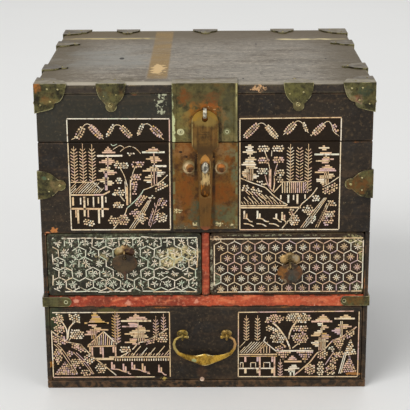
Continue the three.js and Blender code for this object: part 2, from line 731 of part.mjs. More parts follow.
// A ring in the YZ plane with a shank that runs back into the drawer front
function ringAndShank(mean, wire, standoff) {
  const ring = new THREE.TorusGeometry(mean, wire, 8, 14).rotateY(Math.PI / 2).translate(0, -standoff, 0);
  const from = mean - standoff;
  const shank = rodAlongY(SHANK, 0, from, 0, SHANK_LENGTH - from);
  return [ring, shank];
}

// What lies in front of the face of the board, with the seat left free, and the shank behind it
function onFace(dome, others) {
  const front = blockBetween([-50, -50, -50], [50, -MOUNT_SEAT, 50]);
  return solid(dome).intersect(solid(front)).add(joined(...others));
}

// Leaf pulls: a boss of three swollen lobes with a ring, and a pendant leaf that hangs in the ring
function lobe(x, z, width, height, rise) {
  return new THREE.SphereGeometry(1, 12, 8).scale(width, rise, height).translate(x, 0, z);
}

function leafPull(side, group, at) {
  const bossLobes = [
    lobe(-4.4, at.bossRise, 3.9, 4, 2.2),
    lobe(4.4, at.bossRise, 3.9, 4, 2.2),
    lobe(0, at.bossRise + 1.5, 4.6, 4.5, 2.6),
  ];
  const face = solid(blockBetween([-50, -50, -50], [50, -MOUNT_SEAT, 50]));
  const boss = joined(...bossLobes).intersect(face);
  const whole = boss.add(joined(...ringAndShank(RING, RING_WIRE, PENDANT_STANDOFF)));
  place(group, "pull_boss_" + side, geometryOf(whole), brass(YELLOW), at.x, FRONT, at.z);

  const half = PENDANT_WIDTH / 2;
  const outline = [
    [0.3, 0],
    [0.81, 0.13],
    [1, 0.43],
    [0.82, 0.69],
    [0.44, 0.89],
    [0.085, 1],
  ].map(([x, z]) => new THREE.Vector2(x * half, -z * PENDANT_BODY));
  const top = new THREE.Vector2(0, PENDANT_TOP);
  const tip = -PENDANT_BODY - at.tip;
  const blunt = 0.5; // half the width of the tip, and the length of its point
  const mirrored = outline.map((p) => new THREE.Vector2(-p.x, p.y)).reverse();
  const pendant = new THREE.Shape();
  pendant.moveTo(0, PENDANT_TOP);
  pendant.splineThru(outline);
  pendant.lineTo(blunt, tip + blunt);
  pendant.lineTo(0, tip);
  pendant.lineTo(-blunt, tip + blunt);
  pendant.lineTo(mirrored[0].x, mirrored[0].y);
  pendant.splineThru([...mirrored.slice(1), top]);
  pendant.holes.push(new THREE.Path().absarc(0, -RING, PENDANT_HOLE, 0, 2 * Math.PI, false));
  const edge = 0.35;
  const plate = new THREE.ExtrudeGeometry(pendant, {
    depth: PENDANT - 2 * edge,
    bevelEnabled: true,
    bevelSegments: 1,
    bevelSize: edge,
    bevelThickness: edge,
    bevelOffset: -edge,
    curveSegments: 3,
  });
  plate.translate(0, 0, edge - PENDANT / 2).rotateX(Math.PI / 2);
  place(box, "pull_leaf_" + side, plate, brass(RUSTY), at.x, FRONT - PENDANT_STANDOFF, at.z);
}

leafPull("left", drawerLeft, PULL_LEFT);
leafPull("right", drawerRight, PULL_RIGHT);

// Bail of the wide drawer: its two ends run in the posts' rings, its middle swells into a grip
const POST_RING = BAIL_END + POST_HOLE_PLAY + POST_WIRE;
for (const [name, x] of [["bail_post_left", -POST_X], ["bail_post_right", POST_X]]) {
  const dome = new THREE.SphereGeometry(1, 14, 8).scale(ROSETTE_WIDE / 2, ROSETTE_RISE, ROSETTE_TALL / 2);
  dome.translate(0, 0, ROSETTE_ABOVE);
  const whole = onFace(dome, ringAndShank(POST_RING, POST_WIRE, BAIL_STANDOFF));
  place(drawerWide, name, geometryOf(whole), brass(YELLOW), BAIL_X + x, FRONT, BAIL_AXIS_Z);
}

// The right half of the bail's centre line, from the tip inside the post to the middle of the grip,
// as a share of the bend's reach and of the drop, with half the height of the section there
const bend = BAIL_SPAN / 2;
const halfBail = [
  [POST_X - 4.9, 0, BAIL_END],
  [POST_X - 4.3, 0, BAIL_END * 1.5],
  [POST_X - 3.3, 0, BAIL_END * 1.5],
  [POST_X - 2.6, 0, BAIL_END],
  [POST_X + 1.4, 0, BAIL_END],
  [bend * 0.86, 0.03, BAIL_END],
  [bend * 0.955, 0.12, BAIL_END],
  [bend, 0.3, BAIL_END * 1.15],
  [bend * 0.97, 0.5, BAIL_END * 1.25],
  [bend * 0.85, 0.71, BAIL_END * 1.4],
  [bend * 0.66, 0.84, BAIL_GRIP * 0.19],
  [bend * 0.46, 0.92, BAIL_GRIP * 0.25],
  [bend * 0.28, 0.975, BAIL_GRIP * 0.32],
  [bend * 0.14, 1, BAIL_GRIP * 0.43],
  [bend * 0.06, 1, BAIL_GRIP * 0.49],
  [0, 1, BAIL_GRIP / 2],
];
const bailStations = [
  ...halfBail.map(([x, z, h]) => [x, -z * BAIL_DROP, h]),
  ...halfBail.slice(0, -1).reverse().map(([x, z, h]) => [-x, -z * BAIL_DROP, h]),
];

// A closed tube through the stations, with an oval section that is square to the centre line
function bailGeometry(stations, sides) {
  const positions = [];
  const ring = (i) => {
    const [x, z, half] = stations[i];
    const before = stations[Math.max(i - 1, 0)];
    const after = stations[Math.min(i + 1, stations.length - 1)];
    const along = new THREE.Vector2(after[0] - before[0], after[1] - before[1]).normalize();
    const thick = Math.min(BAIL_THICK, half);
    const points = [];
    for (let k = 0; k < sides; k += 1) {
      const angle = (2 * Math.PI * k) / sides;
      const out = half * Math.cos(angle);
      points.push([x - along.y * out, thick * Math.sin(angle), z + along.x * out]);
    }
    return points;
  };
  const rings = stations.map((_, i) => ring(i));
  for (let i = 0; i + 1 < rings.length; i += 1) {
    for (let k = 0; k < sides; k += 1) {
      const next = (k + 1) % sides;
      positions.push(...rings[i][k], ...rings[i + 1][next], ...rings[i][next]);
      positions.push(...rings[i][k], ...rings[i + 1][k], ...rings[i + 1][next]);
    }
  }
  for (let k = 1; k + 1 < sides; k += 1) {
    positions.push(...rings[0][0], ...rings[0][k], ...rings[0][k + 1]);
    const last = rings.at(-1);
    positions.push(...last[0], ...last[k + 1], ...last[k]);
  }
  const geometry = new THREE.BufferGeometry();
  geometry.setAttribute("position", new THREE.Float32BufferAttribute(positions, 3));
  geometry.computeVertexNormals();
  return geometry;
}

const hungBail = bailGeometry(bailStations, 10);
place(box, "bail", hungBail, brass(YELLOW), BAIL_X, FRONT - BAIL_STANDOFF, BAIL_AXIS_Z);

export default box;
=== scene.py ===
# A lacquered comb box with shell inlay: the lid, its hasp and three drawers move with the CAD bodies.
import math
import random

import bmesh
import bpy
from mathutils import Matrix, Vector


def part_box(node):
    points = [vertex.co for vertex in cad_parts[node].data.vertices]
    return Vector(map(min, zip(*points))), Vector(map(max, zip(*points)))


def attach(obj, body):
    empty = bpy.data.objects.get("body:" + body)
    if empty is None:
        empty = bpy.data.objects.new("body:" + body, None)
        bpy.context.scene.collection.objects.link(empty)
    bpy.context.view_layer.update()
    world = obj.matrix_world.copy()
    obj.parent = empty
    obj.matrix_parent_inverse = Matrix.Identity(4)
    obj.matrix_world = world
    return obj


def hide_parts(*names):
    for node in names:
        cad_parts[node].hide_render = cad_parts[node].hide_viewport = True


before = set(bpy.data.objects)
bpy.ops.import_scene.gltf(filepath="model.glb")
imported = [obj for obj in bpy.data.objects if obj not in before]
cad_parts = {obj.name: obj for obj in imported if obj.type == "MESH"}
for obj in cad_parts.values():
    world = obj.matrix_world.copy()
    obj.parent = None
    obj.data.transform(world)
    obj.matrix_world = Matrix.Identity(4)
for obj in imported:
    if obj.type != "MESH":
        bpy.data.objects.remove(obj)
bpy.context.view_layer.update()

# The studio: a long lens in front of the box and a little above it, a pale floor, a large soft
# light from the upper left, and a weak one from the right.
CAMERA_PLACE = (0.00333, -1.13167, 0.46562)
CAMERA_TURN = math.radians(0.2073)
CAMERA_PITCH = math.radians(17.021)
CAMERA_ROLL = math.radians(-0.3251)
LENS = 117.95
FLOOR_SIZE = 9
LIT_HEIGHT = 0.12
MM = 0.001
FRONT = -122
PATCH_OUTER, PATCH_INNER = 1.1, 0.85

scene = bpy.context.scene
scene.view_settings.view_transform = "Standard"


def colour(code):
    """A colour written as #rrggbb, as the linear values that Blender works in."""
    parts = [int(code[i : i + 2], 16) / 255 for i in (1, 3, 5)]
    linear = [p / 12.92 if p <= 0.04045 else ((p + 0.055) / 1.055) ** 2.4 for p in parts]
    return (*linear, 1)


class Painter:
    """Adds nodes to one tree: a finish's material, or an effect that finishes share.

    Places are in millimetres in the frame of the whole box."""

    def __init__(self, tree):
        self.tree = tree
        self.coordinates = self.node("ShaderNodeTexCoord").outputs
        self.place = self.coordinates["Object"]

    def node(self, kind, inputs=None, **settings):
        made = self.tree.nodes.new(kind)
        for setting, value in settings.items():
            setattr(made, setting, value)
        for name, value in (inputs or {}).items():
            self.feed(made.inputs[name], value)
        return made

    def feed(self, socket, value):
        if isinstance(value, bpy.types.NodeSocket):
            self.tree.links.new(value, socket)
        else:
            socket.default_value = value

    def stretched(self, x, y, z):
        """The object's own coordinates, stretched so that a pattern runs along one way."""
        inputs = {"Vector": self.place, "Scale": (x, y, z)}
        return self.node("ShaderNodeMapping", inputs).outputs["Vector"]

    def noise(self, scale, detail=3.0, vector=None, rough=0.55):
        inputs = {"Vector": vector or self.place, "Scale": scale, "Detail": detail, "Roughness": rough}
        return self.node("ShaderNodeTexNoise", inputs).outputs["Fac"]

    def reckon(self, operation, first, second=0.0):
        node = self.node("ShaderNodeMath", {0: first, 1: second}, operation=operation)
        return node.outputs["Value"]

    def times(self, product, *factors):
        for factor in factors:
            product = self.reckon("MULTIPLY", product, factor)
        return product

    def span(self, value, low, high, bottom=0.0, top=1.0):
        """bottom where value is low, top where it is high, and a smooth change between them."""
        inputs = {"Value": value, "From Min": low, "From Max": high, "To Min": bottom, "To Max": top}
        node = self.node("ShaderNodeMapRange", inputs, interpolation_type="SMOOTHSTEP")
        return node.outputs["Result"]

    def cloud(self, scale, detail, low, high, bottom=0.0, top=1.0, vector=None, rough=0.55):
        """Noise with a smooth change between two of its values."""
        return self.span(self.noise(scale, detail, vector, rough), low, high, bottom, top)

    def mix(self, share, under, over):
        node = self.node("ShaderNodeMix", data_type="RGBA")
        for socket, value in (("Factor_Float", share), ("A_Color", under), ("B_Color", over)):
            target = next(s for s in node.inputs if s.identifier == socket)
            self.feed(target, colour(value) if isinstance(value, str) else value)
        return next(s for s in node.outputs if s.identifier == "Result_Color")

    def along(self, axis):
        node = self.node("ShaderNodeSeparateXYZ", {"Vector": self.place})
        return self.reckon("DIVIDE", node.outputs[axis], MM)

    def fade(self, axis, low, high, bottom=0.0, top=1.0):
        return self.span(self.along(axis), low, high, bottom, top)

    def outward(self, low, high):
        """A smooth change with the distance from the middle of the box, to both sides."""
        return self.span(self.reckon("ABSOLUTE", self.along("X")), low, high)

    def band(self, axis, low, high, soft):
        """1 between low and high along an axis, 0 outside."""
        value = self.along(axis)
        rising = self.span(value, low - soft, low + soft)
        return self.times(rising, self.span(value, high - soft, high + soft, 1.0, 0.0))

    def facing_up(self):
        """1 on faces that look up, 0 on upright ones."""
        node = self.node("ShaderNodeSeparateXYZ", {"Vector": self.coordinates["Normal"]})
        return self.span(node.outputs["Z"], 0.45, 0.9)

    def patch(self, centre, reach, ragged=0.3, scale=140.0, soft=0.0):
        """1 inside an oval patch with a ragged outline. A reach of 0 leaves that axis out."""
        shrink = [1 / (r * MM) if r else 0 for r in reach]
        shift = [-c * MM * s for c, s in zip(centre, shrink)]
        inputs = {"Vector": self.place, "Location": shift, "Scale": shrink}
        mapped = self.node("ShaderNodeMapping", inputs).outputs["Vector"]
        length = self.node("ShaderNodeVectorMath", {0: mapped}, operation="LENGTH")
        wander = self.cloud(scale, 3.0, 0.3, 0.7, -ragged, ragged)
        distance = self.reckon("ADD", length.outputs["Value"], wander)
        return self.span(distance, PATCH_OUTER + soft, PATCH_INNER - soft)

    def spot(self, x, z, across, up, ragged=0.3, scale=140.0, soft=0.0, deep=0):
        """A patch seen from the front, at any depth or only near the front."""
        return self.patch((x, FRONT, z), (across, deep, up), ragged, scale, soft)

    def effect(self, group, **values):
        """The first output of a shared effect, with its inputs set by name."""
        inputs = {name.capitalize(): value for name, value in values.items()}
        return self.node("ShaderNodeGroup", inputs, node_tree=group).outputs[0]


class Finish(Painter):
    """A material: one Principled shader, and the colour that is built up for it in layers."""

    def __init__(self, name, metal=0.0, shine=0.5):
        self.material = bpy.data.materials.new(name)
        self.material.use_nodes = True
        super().__init__(self.material.node_tree)
        self.shader = self.tree.nodes["Principled BSDF"]
        self.shader.inputs["Metallic"].default_value = metal
        self.shader.inputs["Specular IOR Level"].default_value = shine
        self.base = None

    def tint(self, over, *shares):
        """Lays a tint over the colour, as strong as the product of the shares."""
        self.base = self.mix(self.times(*shares), self.base, over)

    def mottle(self, dark, light, scale=420.0, share=0.5):
        """Small darker and lighter spots, as dirt and rubbing leave them."""
        spots = self.noise(scale, 4, rough=0.7)
        self.tint(dark, self.span(spots, 0.53, 0.66, 0.0, share))
        self.tint(light, self.span(spots, 0.47, 0.34, 0.0, share))

    def lay(self, rough, height=None, depth=0.0001):
        """Feeds the colour, the roughness and a height in metres to the shader."""
        self.feed(self.shader.inputs["Base Color"], self.base)
        self.feed(self.shader.inputs["Roughness"], rough)
        if height is not None:
            bump = self.node("ShaderNodeBump", {"Height": height, "Distance": depth})
            self.feed(self.shader.inputs["Normal"], bump.outputs["Normal"])
        return self.material


def shared_effect(effect, output, **inputs):
    """A new node group with number inputs and one number output, and its painter."""
    tree = bpy.data.node_groups.new(effect, "ShaderNodeTree")
    for name, value in inputs.items():
        label = name.capitalize()
        socket = tree.interface.new_socket(label, in_out="INPUT", socket_type="NodeSocketFloat")
        socket.default_value = value
    tree.interface.new_socket(output, in_out="OUTPUT", socket_type="NodeSocketFloat")
    painter = Painter(tree)
    given = painter.node("NodeGroupInput").outputs
    taken = painter.node("NodeGroupOutput").inputs[0]
    return painter, given, taken


def soft_light(name, place, size, power):
    lamp = bpy.data.lights.new(name, "AREA")
    lamp.shape = "DISK"
    lamp.size = size
    lamp.energy = power
    lamp_object = bpy.data.objects.new(name, lamp)
    lamp_object.location = place
    aim = Vector((0, 0, LIT_HEIGHT)) - Vector(place)
    lamp_object.rotation_euler = aim.to_track_quat("-Z", "Y").to_euler()
    scene.collection.objects.link(lamp_object)


camera_data = bpy.data.cameras.new("camera")
camera_data.lens = LENS
camera = bpy.data.objects.new("camera", camera_data)
upright = Matrix.Rotation(CAMERA_TURN, 4, "Z") @ Matrix.Rotation(math.pi / 2 - CAMERA_PITCH, 4, "X")
camera.matrix_world = Matrix.Translation(CAMERA_PLACE) @ upright @ Matrix.Rotation(CAMERA_ROLL, 4, "Z")
scene.collection.objects.link(camera)
scene.camera = camera

soft_light("key", (-1.4, -1.75, 2.35), 1.9, 52)
soft_light("fill", (1.9, -1.9, 1.2), 1.6, 14)
soft_light("back", (0.1, 2.1, 2.2), 2.0, 18)
world = bpy.data.worlds.new("studio")
world.use_nodes = True
world.node_tree.nodes["Background"].inputs["Color"].default_value = colour("#f6f6f6")
world.node_tree.nodes["Background"].inputs["Strength"].default_value = 0.52
scene.world = world

floor_mesh = bpy.data.meshes.new("floor")
floor_bm = bmesh.new()
bmesh.ops.create_grid(floor_bm, x_segments=1, y_segments=1, size=FLOOR_SIZE / 2)
floor_bm.to_mesh(floor_mesh)
floor_bm.free()
floor = bpy.data.objects.new("floor", floor_mesh)
scene.collection.objects.link(floor)
paper = Finish("pale_paper")
paper.base = paper.mix(paper.noise(3), "#ebebe9", "#eeeeec")
floor_mesh.materials.append(paper.lay(0.9))

# The boards: softwood under brown-black lacquer, glued edge to edge. Handling has rubbed the arrises
# down to brown ground and here and there to the bare wood.
BOARD_ROUND = 0.00028
MERGE = 1e-6
SHARP = math.radians(28)
FLAT = math.radians(0.5)
LACQUER_DEPTH = 0.00006


def finished_copy(node, body, finish, rounded=0.0, segments=2):
    """A copy of a CAD piece with softened edges and the piece's finish, shown in its place."""
    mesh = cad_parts[node].data.copy()
    bm = bmesh.new()
    bm.from_mesh(mesh)
    bmesh.ops.remove_doubles(bm, verts=bm.verts, dist=MERGE)
    bmesh.ops.dissolve_limit(bm, angle_limit=FLAT, verts=bm.verts, edges=bm.edges)
    if rounded:
        edges = [e for e in bm.edges if e.is_manifold and e.calc_face_angle() > SHARP]
        bmesh.ops.bevel(
            bm,
            geom=edges,
            offset=rounded,
            offset_type="OFFSET",
            segments=segments,
            profile=0.5,
            affect="EDGES",
            clamp_overlap=True,
            material=-1,
        )
    bmesh.ops.triangulate(bm, faces=[f for f in bm.faces if len(f.verts) > 4])
    for face in bm.faces:
        face.smooth = True
    for edge in bm.edges:
        edge.smooth = not edge.is_manifold or edge.calc_face_angle() < SHARP
    bm.to_mesh(mesh)
    bm.free()
    return place_piece(mesh, f"{node}_finished", body, finish, replaced=(node,))


def place_piece(mesh, name, body, finish, replaced=()):
    """Makes the object of a mesh, gives it its finish, and hangs it on its body."""
    piece = bpy.data.objects.new(name, mesh)
    scene.collection.objects.link(piece)
    mesh.name = name
    mesh.materials.clear()
    mesh.materials.append(finish)
    if replaced:
        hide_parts(*replaced)
    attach(piece, body)
    return piece


painter, given, taken = shared_effect("arris wear", "Wear", reach=0.002, breaks=90.0)
near = {"Distance": given["Reach"]}
hollow = painter.node("ShaderNodeAmbientOcclusion", near, samples=8, inside=True, only_local=True)
rubbed = painter.span(hollow.outputs["AO"], 0.93, 0.62)
painter.feed(taken, painter.times(rubbed, painter.cloud(given["Breaks"], 4, 0.42, 0.6, 0.0, 1.35)))
arris_wear = painter.tree

painter, given, taken = shared_effect("specks", "Specks", size=0.0004, spacing=400.0)
cells = painter.node("ShaderNodeTexVoronoi", {"Vector": painter.place, "Scale": given["Spacing"]})
reach = painter.times(given["Size"], given["Spacing"])
dots = painter.span(painter.reckon("SUBTRACT", reach, cells.outputs["Distance"]), 0.0, 0.06)
painter.feed(taken, painter.times(dots, painter.cloud(35, 2, 0.52, 0.66)))
specks = painter.tree


def lacquer_finish(name, dark, light, ground, bare, wear=1.0, chalk=0.0):
    """Old lacquer: cloudy, finely scratched, with rubbed arrises down to ground and bare wood."""
    finish = Finish(name, shine=0.25)
    clouds = finish.cloud(22, 4, 0.3, 0.7)
    fine = finish.cloud(900, 2, 0.3, 0.7)
    finish.base = finish.mix(clouds, dark, light)
    finish.tint("#2b2927", finish.cloud(60, 4, 0.5, 0.68, 0.0, 0.5))
    finish.tint(light, fine, 0.4)
    finish.tint(ground, finish.cloud(160, 3, 0.5, 0.72, vector=finish.stretched(0.12, 0.12, 1)), 0.3)
    finish.tint("#9c8f70", finish.effect(specks, size=0.00045, spacing=330.0), 0.5)
    finish.mottle("#120d08", "#5a4932")
    if chalk:
        flecks = finish.cloud(520, 4, 0.52, 0.62, rough=0.7)
        finish.tint("#8f987a", flecks, finish.cloud(45, 3, 0.35, 0.6), chalk)
    worn = finish.times(finish.effect(arris_wear, reach=0.002, breaks=110.0), wear)
    finish.tint(ground, finish.span(worn, 0.15, 0.8, 0.0, 0.8))
    finish.tint(bare, finish.span(finish.times(worn, finish.cloud(48, 3, 0.52, 0.68)), 0.4, 0.8))
    rough = finish.span(finish.reckon("ADD", clouds, worn), 0.0, 1.6, 0.42, 0.66)
    return finish, rough, finish.reckon("SUBTRACT", finish.times(fine, 0.25), worn)


finish, rough, height = lacquer_finish("black_lacquer", "#1b1510", "#2f261c", "#5d4630", "#a5652f")
finish.tint("#35372e", finish.fade("X", 10, -20), finish.fade("Z", 207, 210), 0.4)
front = finish.fade("Y", -119, -120.5)
shine = 0.22
for left, right, low, high in (
    (-106.2, -27.8, 136.4, 226.2),
    (27, 105.2, 136, 226.2),
    (-125.2, -29.5, 9.8, 66.4),
    (26.1, 123.6, 9.5, 66.2),
):
    panel = finish.times(finish.band("X", left, right, 0.5), finish.band("Z", low, high, 0.5), front)
    finish.tint("#1f1408", panel, 0.82)
    shine = finish.reckon("SUBTRACT", shine, finish.times(panel, 0.08))
finish.feed(finish.shader.inputs["Specular IOR Level"], shine)
for x, z, across, up, tint in (
    (-119.8, 136.6, 2.8, 1.8, "#c07a40"),
    (-125.2, 132.6, 2.3, 2.6, "#cc8658"),
    (-125.5, 21, 1.6, 3, "#c8862e"),
    (-121.5, 83.8, 5.8, 1.1, "#b8642c"),
    (-34.5, 8.2, 2.2, 1.4, "#b89f52"),
    (119.5, 11.8, 5.2, 1.2, "#a5703a"),
):
    finish.tint(tint, finish.spot(x, z, across, up, 0.45, 420.0, deep=20), 0.85)
finish.tint("#735438", finish.band("Z", -1, 6.8, 1.2), finish.cloud(240, 4, 0.46, 0.62, 0.0, 0.55))
finish.tint("#5a3c28", finish.spot(-3.2, 14.5, 3.5, 6.5, 0.4, 300.0, 0.3, 20), 0.35)
finish.tint("#38452c", finish.spot(-122.5, 61.5, 7.2, 10.5, 0.4, 200.0, 0.3, 20), 0.55)
finish.tint("#5d5526", finish.spot(-79.5, 68.2, 7.5, 2.2, 0.4, 200.0, 0.3, 20), 0.6)
flaked = finish.spot(-33.5, 238.5, 4.5, 9.5, 0.3, 260.0, deep=20)
finish.tint("#a9a98c", flaked, finish.cloud(380, 3, 0.51, 0.57))
black_lacquer = finish.lay(rough, height, LACQUER_DEPTH)
for node in ("base_board", "back_board", "side_board_left", "side_board_right", "front_board"):
    finished_copy(node, "carcass", black_lacquer, BOARD_ROUND)
for node in ("lid_front_board", "lid_back_board", "lid_side_left", "lid_side_right"):
    finished_copy(node, "lid", black_lacquer, BOARD_ROUND)

# The drawer fronts: thick boards whose corners and front arrises have been handled round. The left
# one is badly worn, and pale green filler shows through its lacquer.
FRONT_CORNER = 0.003
WIDE_FRONT_CORNER = 0.0015
FRONT_ARRIS = 0.0009
WORN_DEPTH = 0.00008


def rounded_edges(bm, edges, radius, segments):
    bmesh.ops.bevel(
        bm, geom=edges, offset=radius, segments=segments, profile=0.5, affect="EDGES", material=-1
    )


def drawer_front(drawer, finish, corner=FRONT_CORNER):
    """A front board with its corners rounded first, and then its arrises on the show side."""
    low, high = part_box(f"{drawer}_front")
    size = Matrix.Diagonal((*(high - low), 1))
    bm = bmesh.new()
    bmesh.ops.create_cube(bm, size=1, matrix=Matrix.Translation((low + high) / 2) @ size)
    rounded_edges(bm, [e for e in bm.edges if abs(e.verts[0].co.y - e.verts[1].co.y) > MERGE], corner, 5)
    show_side = [e for e in bm.edges if all(v.co.y < low.y + MERGE for v in e.verts)]
    rounded_edges(bm, show_side, FRONT_ARRIS, 3)
    for face in bm.faces:
        face.smooth = True
    for edge in bm.edges:
        edge.smooth = edge.calc_face_angle() < SHARP
    name = f"{drawer}_front_rounded"
    mesh = bpy.data.meshes.new(name)
    bm.to_mesh(mesh)
    bm.free()
    return place_piece(mesh, name, drawer, finish, replaced=(f"{drawer}_front",))


finish, rough, height = lacquer_finish(
    "filler_lacquer", "#1d1a10", "#2f2c1e", "#4a4930", "#7b6238", wear=1.2, chalk=0.62
)
for x, z, across, up, share in (
    (-21, 115.5, 12.5, 6.8, 0.9),
    (-30.5, 110.5, 6.2, 6.2, 0.9),
    (-83.5, 113, 4.5, 5.2, 0.55),
    (-64, 116.5, 5.2, 6.2, 0.55),
):
    cream = finish.spot(x, z, across, up, 0.4, soft=0.2)
    finish.tint("#c9b784", cream, finish.cloud(380, 4, 0.42, 0.54, rough=0.7), share)
drawer_front("drawer_left", finish.lay(rough, height, WORN_DEPTH))

finish, rough, height = lacquer_finish("rubbed_lacquer", "#1d1106", "#301f0d", "#4d4026", "#7b6238", wear=1.2)
for x, z, across, up, tint in (
    (118.5, 127.5, 8.5, 4.2, "#b3aa78"),
    (123.5, 116, 2.2, 7.5, "#a39a68"),
    (4.5, 106, 1.1, 19, "#9d997c"),
    (8.5, 129, 4.5, 2.6, "#bd9d78"),
    (6.8, 87.2, 3.2, 4.2, "#b7ae92"),
    (8.5, 96, 3.2, 5.2, "#6f7458"),
    (121, 88, 4, 4.5, "#8b875f"),
    (52, 131.2, 40, 0.7, "#8f8a6c"),
):
    scraped = finish.spot(x, z, across, up, 0.4, soft=0.15)
    finish.tint(tint, scraped, finish.cloud(520, 4, 0.46, 0.56, rough=0.7), 0.85)
drawer_front("drawer_right", finish.lay(rough, height, WORN_DEPTH))
drawer_front("drawer_wide", black_lacquer, WIDE_FRONT_CORNER)

# The lid's top board: its lacquer has weathered away to grey-brown grain that runs from side to side,
# and is still black on the board's edges. A strip of old paste, a pale patch in it, a knot and two
# rubbed lines near the back have stayed.
top = lacquer_finish("weathered_lacquer", "#231d18", "#3b3229", "#6d634a", "#8d7a50")[0]
fibrous = top.spot(40.8, 250.5, 5.8, 3.2, 0.5, 300.0, deep=20)
top.tint("#c39a6e", fibrous, top.cloud(520, 3, 0.42, 0.54, rough=0.7))
lacquer = top.base
fibres = top.noise(420, 4, top.stretched(0.12, 1, 1), 0.65)
streaks = top.noise(60, 5, top.stretched(0.22, 1, 1), 0.65)
broad = top.noise(13, 4)
top.base = top.mix(top.span(streaks, 0.3, 0.68), "#5c5243", "#887e6f")
top.tint("#8b857a", top.span(broad, 0.42, 0.6, 0.0, 0.6))
top.tint("#5c5138", top.span(broad, 0.44, 0.34, 0.0, 0.4))
top.tint("#3b3329", top.span(fibres, 0.56, 0.7, 0.0, 0.75))
top.tint("#aea391", top.span(fibres, 0.45, 0.3, 0.0, 0.75))
top.tint("#4a4236", top.cloud(330, 3, 0.58, 0.72, 0.0, 0.4, top.stretched(1, 0.3, 1), 0.6))
top.mottle("#443b2d", "#b0a593", 330.0)
rim = top.reckon("MAXIMUM", top.outward(75, 125), top.fade("Y", 50, 122))
top.tint("#51442a", rim, top.span(streaks, 0.25, 0.5, 0.3, 1.0), 0.8)
top.tint("#6b5a33", top.band("X", -130, -44, 4), top.band("Y", 90, 130, 3), 0.75)
top.tint("#5c4c30", top.fade("Y", 10, 100, 0.0, 0.62))
front_rim = top.times(top.band("Y", -130, -110.5, 3), top.fade("X", -20, 30, 1.0, 0.4))
top.tint("#b0a692", front_rim, top.span(streaks, 0.3, 0.6, 0.6, 1.0))
# a paler blue-grey patch at the front left of the top: a painted sheen
painted_sheen = top.patch((-83, -12, 0), (32, 50, 0), 0.4, 40.0, 0.3)
top.tint("#82817a", painted_sheen, top.span(streaks, 0.3, 0.6, 0.15, 0.65))
paste = top.times(top.band("X", -45.5, -29.5, 1.2), top.band("Y", -99, 118, 6))
paste = top.times(paste, top.span(streaks, 0.3, 0.6, 0.45, 0.9))
top.tint("#876930", paste)
top.tint("#b09a66", paste, top.cloud(700, 3, 0.6, 0.68))
top.tint("#cfae78", top.patch((-37.5, -62, 0), (5.2, 18, 0), 0.45, 190.0), 0.9)
for left, right, y, tint in ((-125, -46, 81, "#b9a672"), (66, 124, 73.5, "#d6c594")):
    line = top.times(top.band("X", left, right, 6), top.band("Y", y - 3.4, y + 3.4, 2.2))
    top.tint(tint, line, top.cloud(90, 3, 0.38, 0.56, 0.3, 1.0))
for x, y, half, reach in ((-70, -15, 1.8, 4.2), (45, 50, 0.8, 2), (101, -20, 0.9, 2), (30, -100, 0.9, 2)):
    top.tint("#231d16", top.patch((x, y, 0), (half, reach, 0)))
edge = top.effect(arris_wear, reach=0.0022, breaks=60.0)
top.tint("#a79f84", top.span(edge, 0.3, 0.9, 0.0, 0.55))
top.base = top.mix(top.facing_up(), lacquer, top.base)
weathered_lacquer = top.lay(0.62, top.span(fibres, 0.25, 0.75), 0.0002)
finished_copy("lid_top_board", "lid", weathered_lacquer, BOARD_ROUND)

# The shelf and the divider between the drawers: their front edges are lacquered red, chipped to a
# pink ground, with brown dirt along the arrises.
red = Finish("red_lacquer", shine=0.3)
clouds = red.cloud(45, 4, 0.32, 0.68, vector=red.stretched(0.6, 1, 1))
red.base = red.mix(clouds, "#842a16", "#b84a2a")
red.tint("#d7643a", red.fade("X", -30, 30, 0.0, 0.45))
red.tint("#d8754a", red.cloud(190, 4, 0.52, 0.64, 0.0, 0.75, red.stretched(0.4, 1, 1)))
browned = red.cloud(120, 4, 0.5, 0.64, 0.0, 0.6, red.stretched(0.5, 1, 1))
red.tint("#5a2614", browned, red.fade("X", -30, 40, 1.0, 0.45))
red.mottle("#4a1a0e", "#e2936e", share=0.45)
for x, z, size in ((-61.6, 74.3, 3.4), (-7.2, 75.5, 2.8), (11.9, 71.8, 1.5), (-104, 76, 2.4)):
    red.tint("#e09a7e", red.spot(x, z, 0.85 * size, 0.6 * size, 0.5, 300.0, 0.25, 20), 0.7)
red.tint("#e8c0a0", red.effect(specks, size=0.0005, spacing=260.0))
red.tint("#4a2a18", red.span(red.effect(arris_wear, reach=0.0024, breaks=130.0), 0.1, 0.6))
upright = red.times(red.band("X", -6, 6, 0.4), red.fade("Z", 78, 82))
red.tint("#6a2c1a", upright, red.cloud(170, 4, 0.4, 0.6, 0.25, 0.9, rough=0.7), 0.5)
red.tint("#4a3423", red.fade("Y", -121.5, -119))
red_lacquer = red.lay(red.span(clouds, 0.0, 1.0, 0.4, 0.55), red.noise(500), 0.00005)
for node in ("drawer_shelf", "drawer_divider"):
    finished_copy(node, "carcass", red_lacquer, BOARD_ROUND)

# The drawers' boxes and the compartment's floor: boards of bare softwood, planed by hand, joined
# edge to face and browned with age.
wood = Finish("bare_wood")
rings = wood.noise(240, 3, wood.stretched(1, 0.05, 1), 0.6)
board = wood.cloud(26, 3, 0.35, 0.65, vector=wood.stretched(1, 0.12, 1))
wood.base = wood.mix(board, "#6f5233", "#93704a")
wood.tint("#543b22", wood.span(rings, 0.55, 0.72, 0.0, 0.6))
wood.tint("#4a3420", wood.effect(specks, size=0.0007, spacing=150.0))
wood.tint("#5b442d", wood.cloud(12, 3, 0.5, 0.72, 0.0, 0.45))
bare_wood = wood.lay(0.7, rings, 0.00012)
finished_copy("compartment_floor", "carcass", bare_wood, BOARD_ROUND)
for drawer in ("drawer_left", "drawer_right", "drawer_wide"):
    for part in ("side_left", "side_right", "back", "bottom"):
        finished_copy(f"{drawer}_{part}", drawer, bare_wood, BOARD_ROUND)

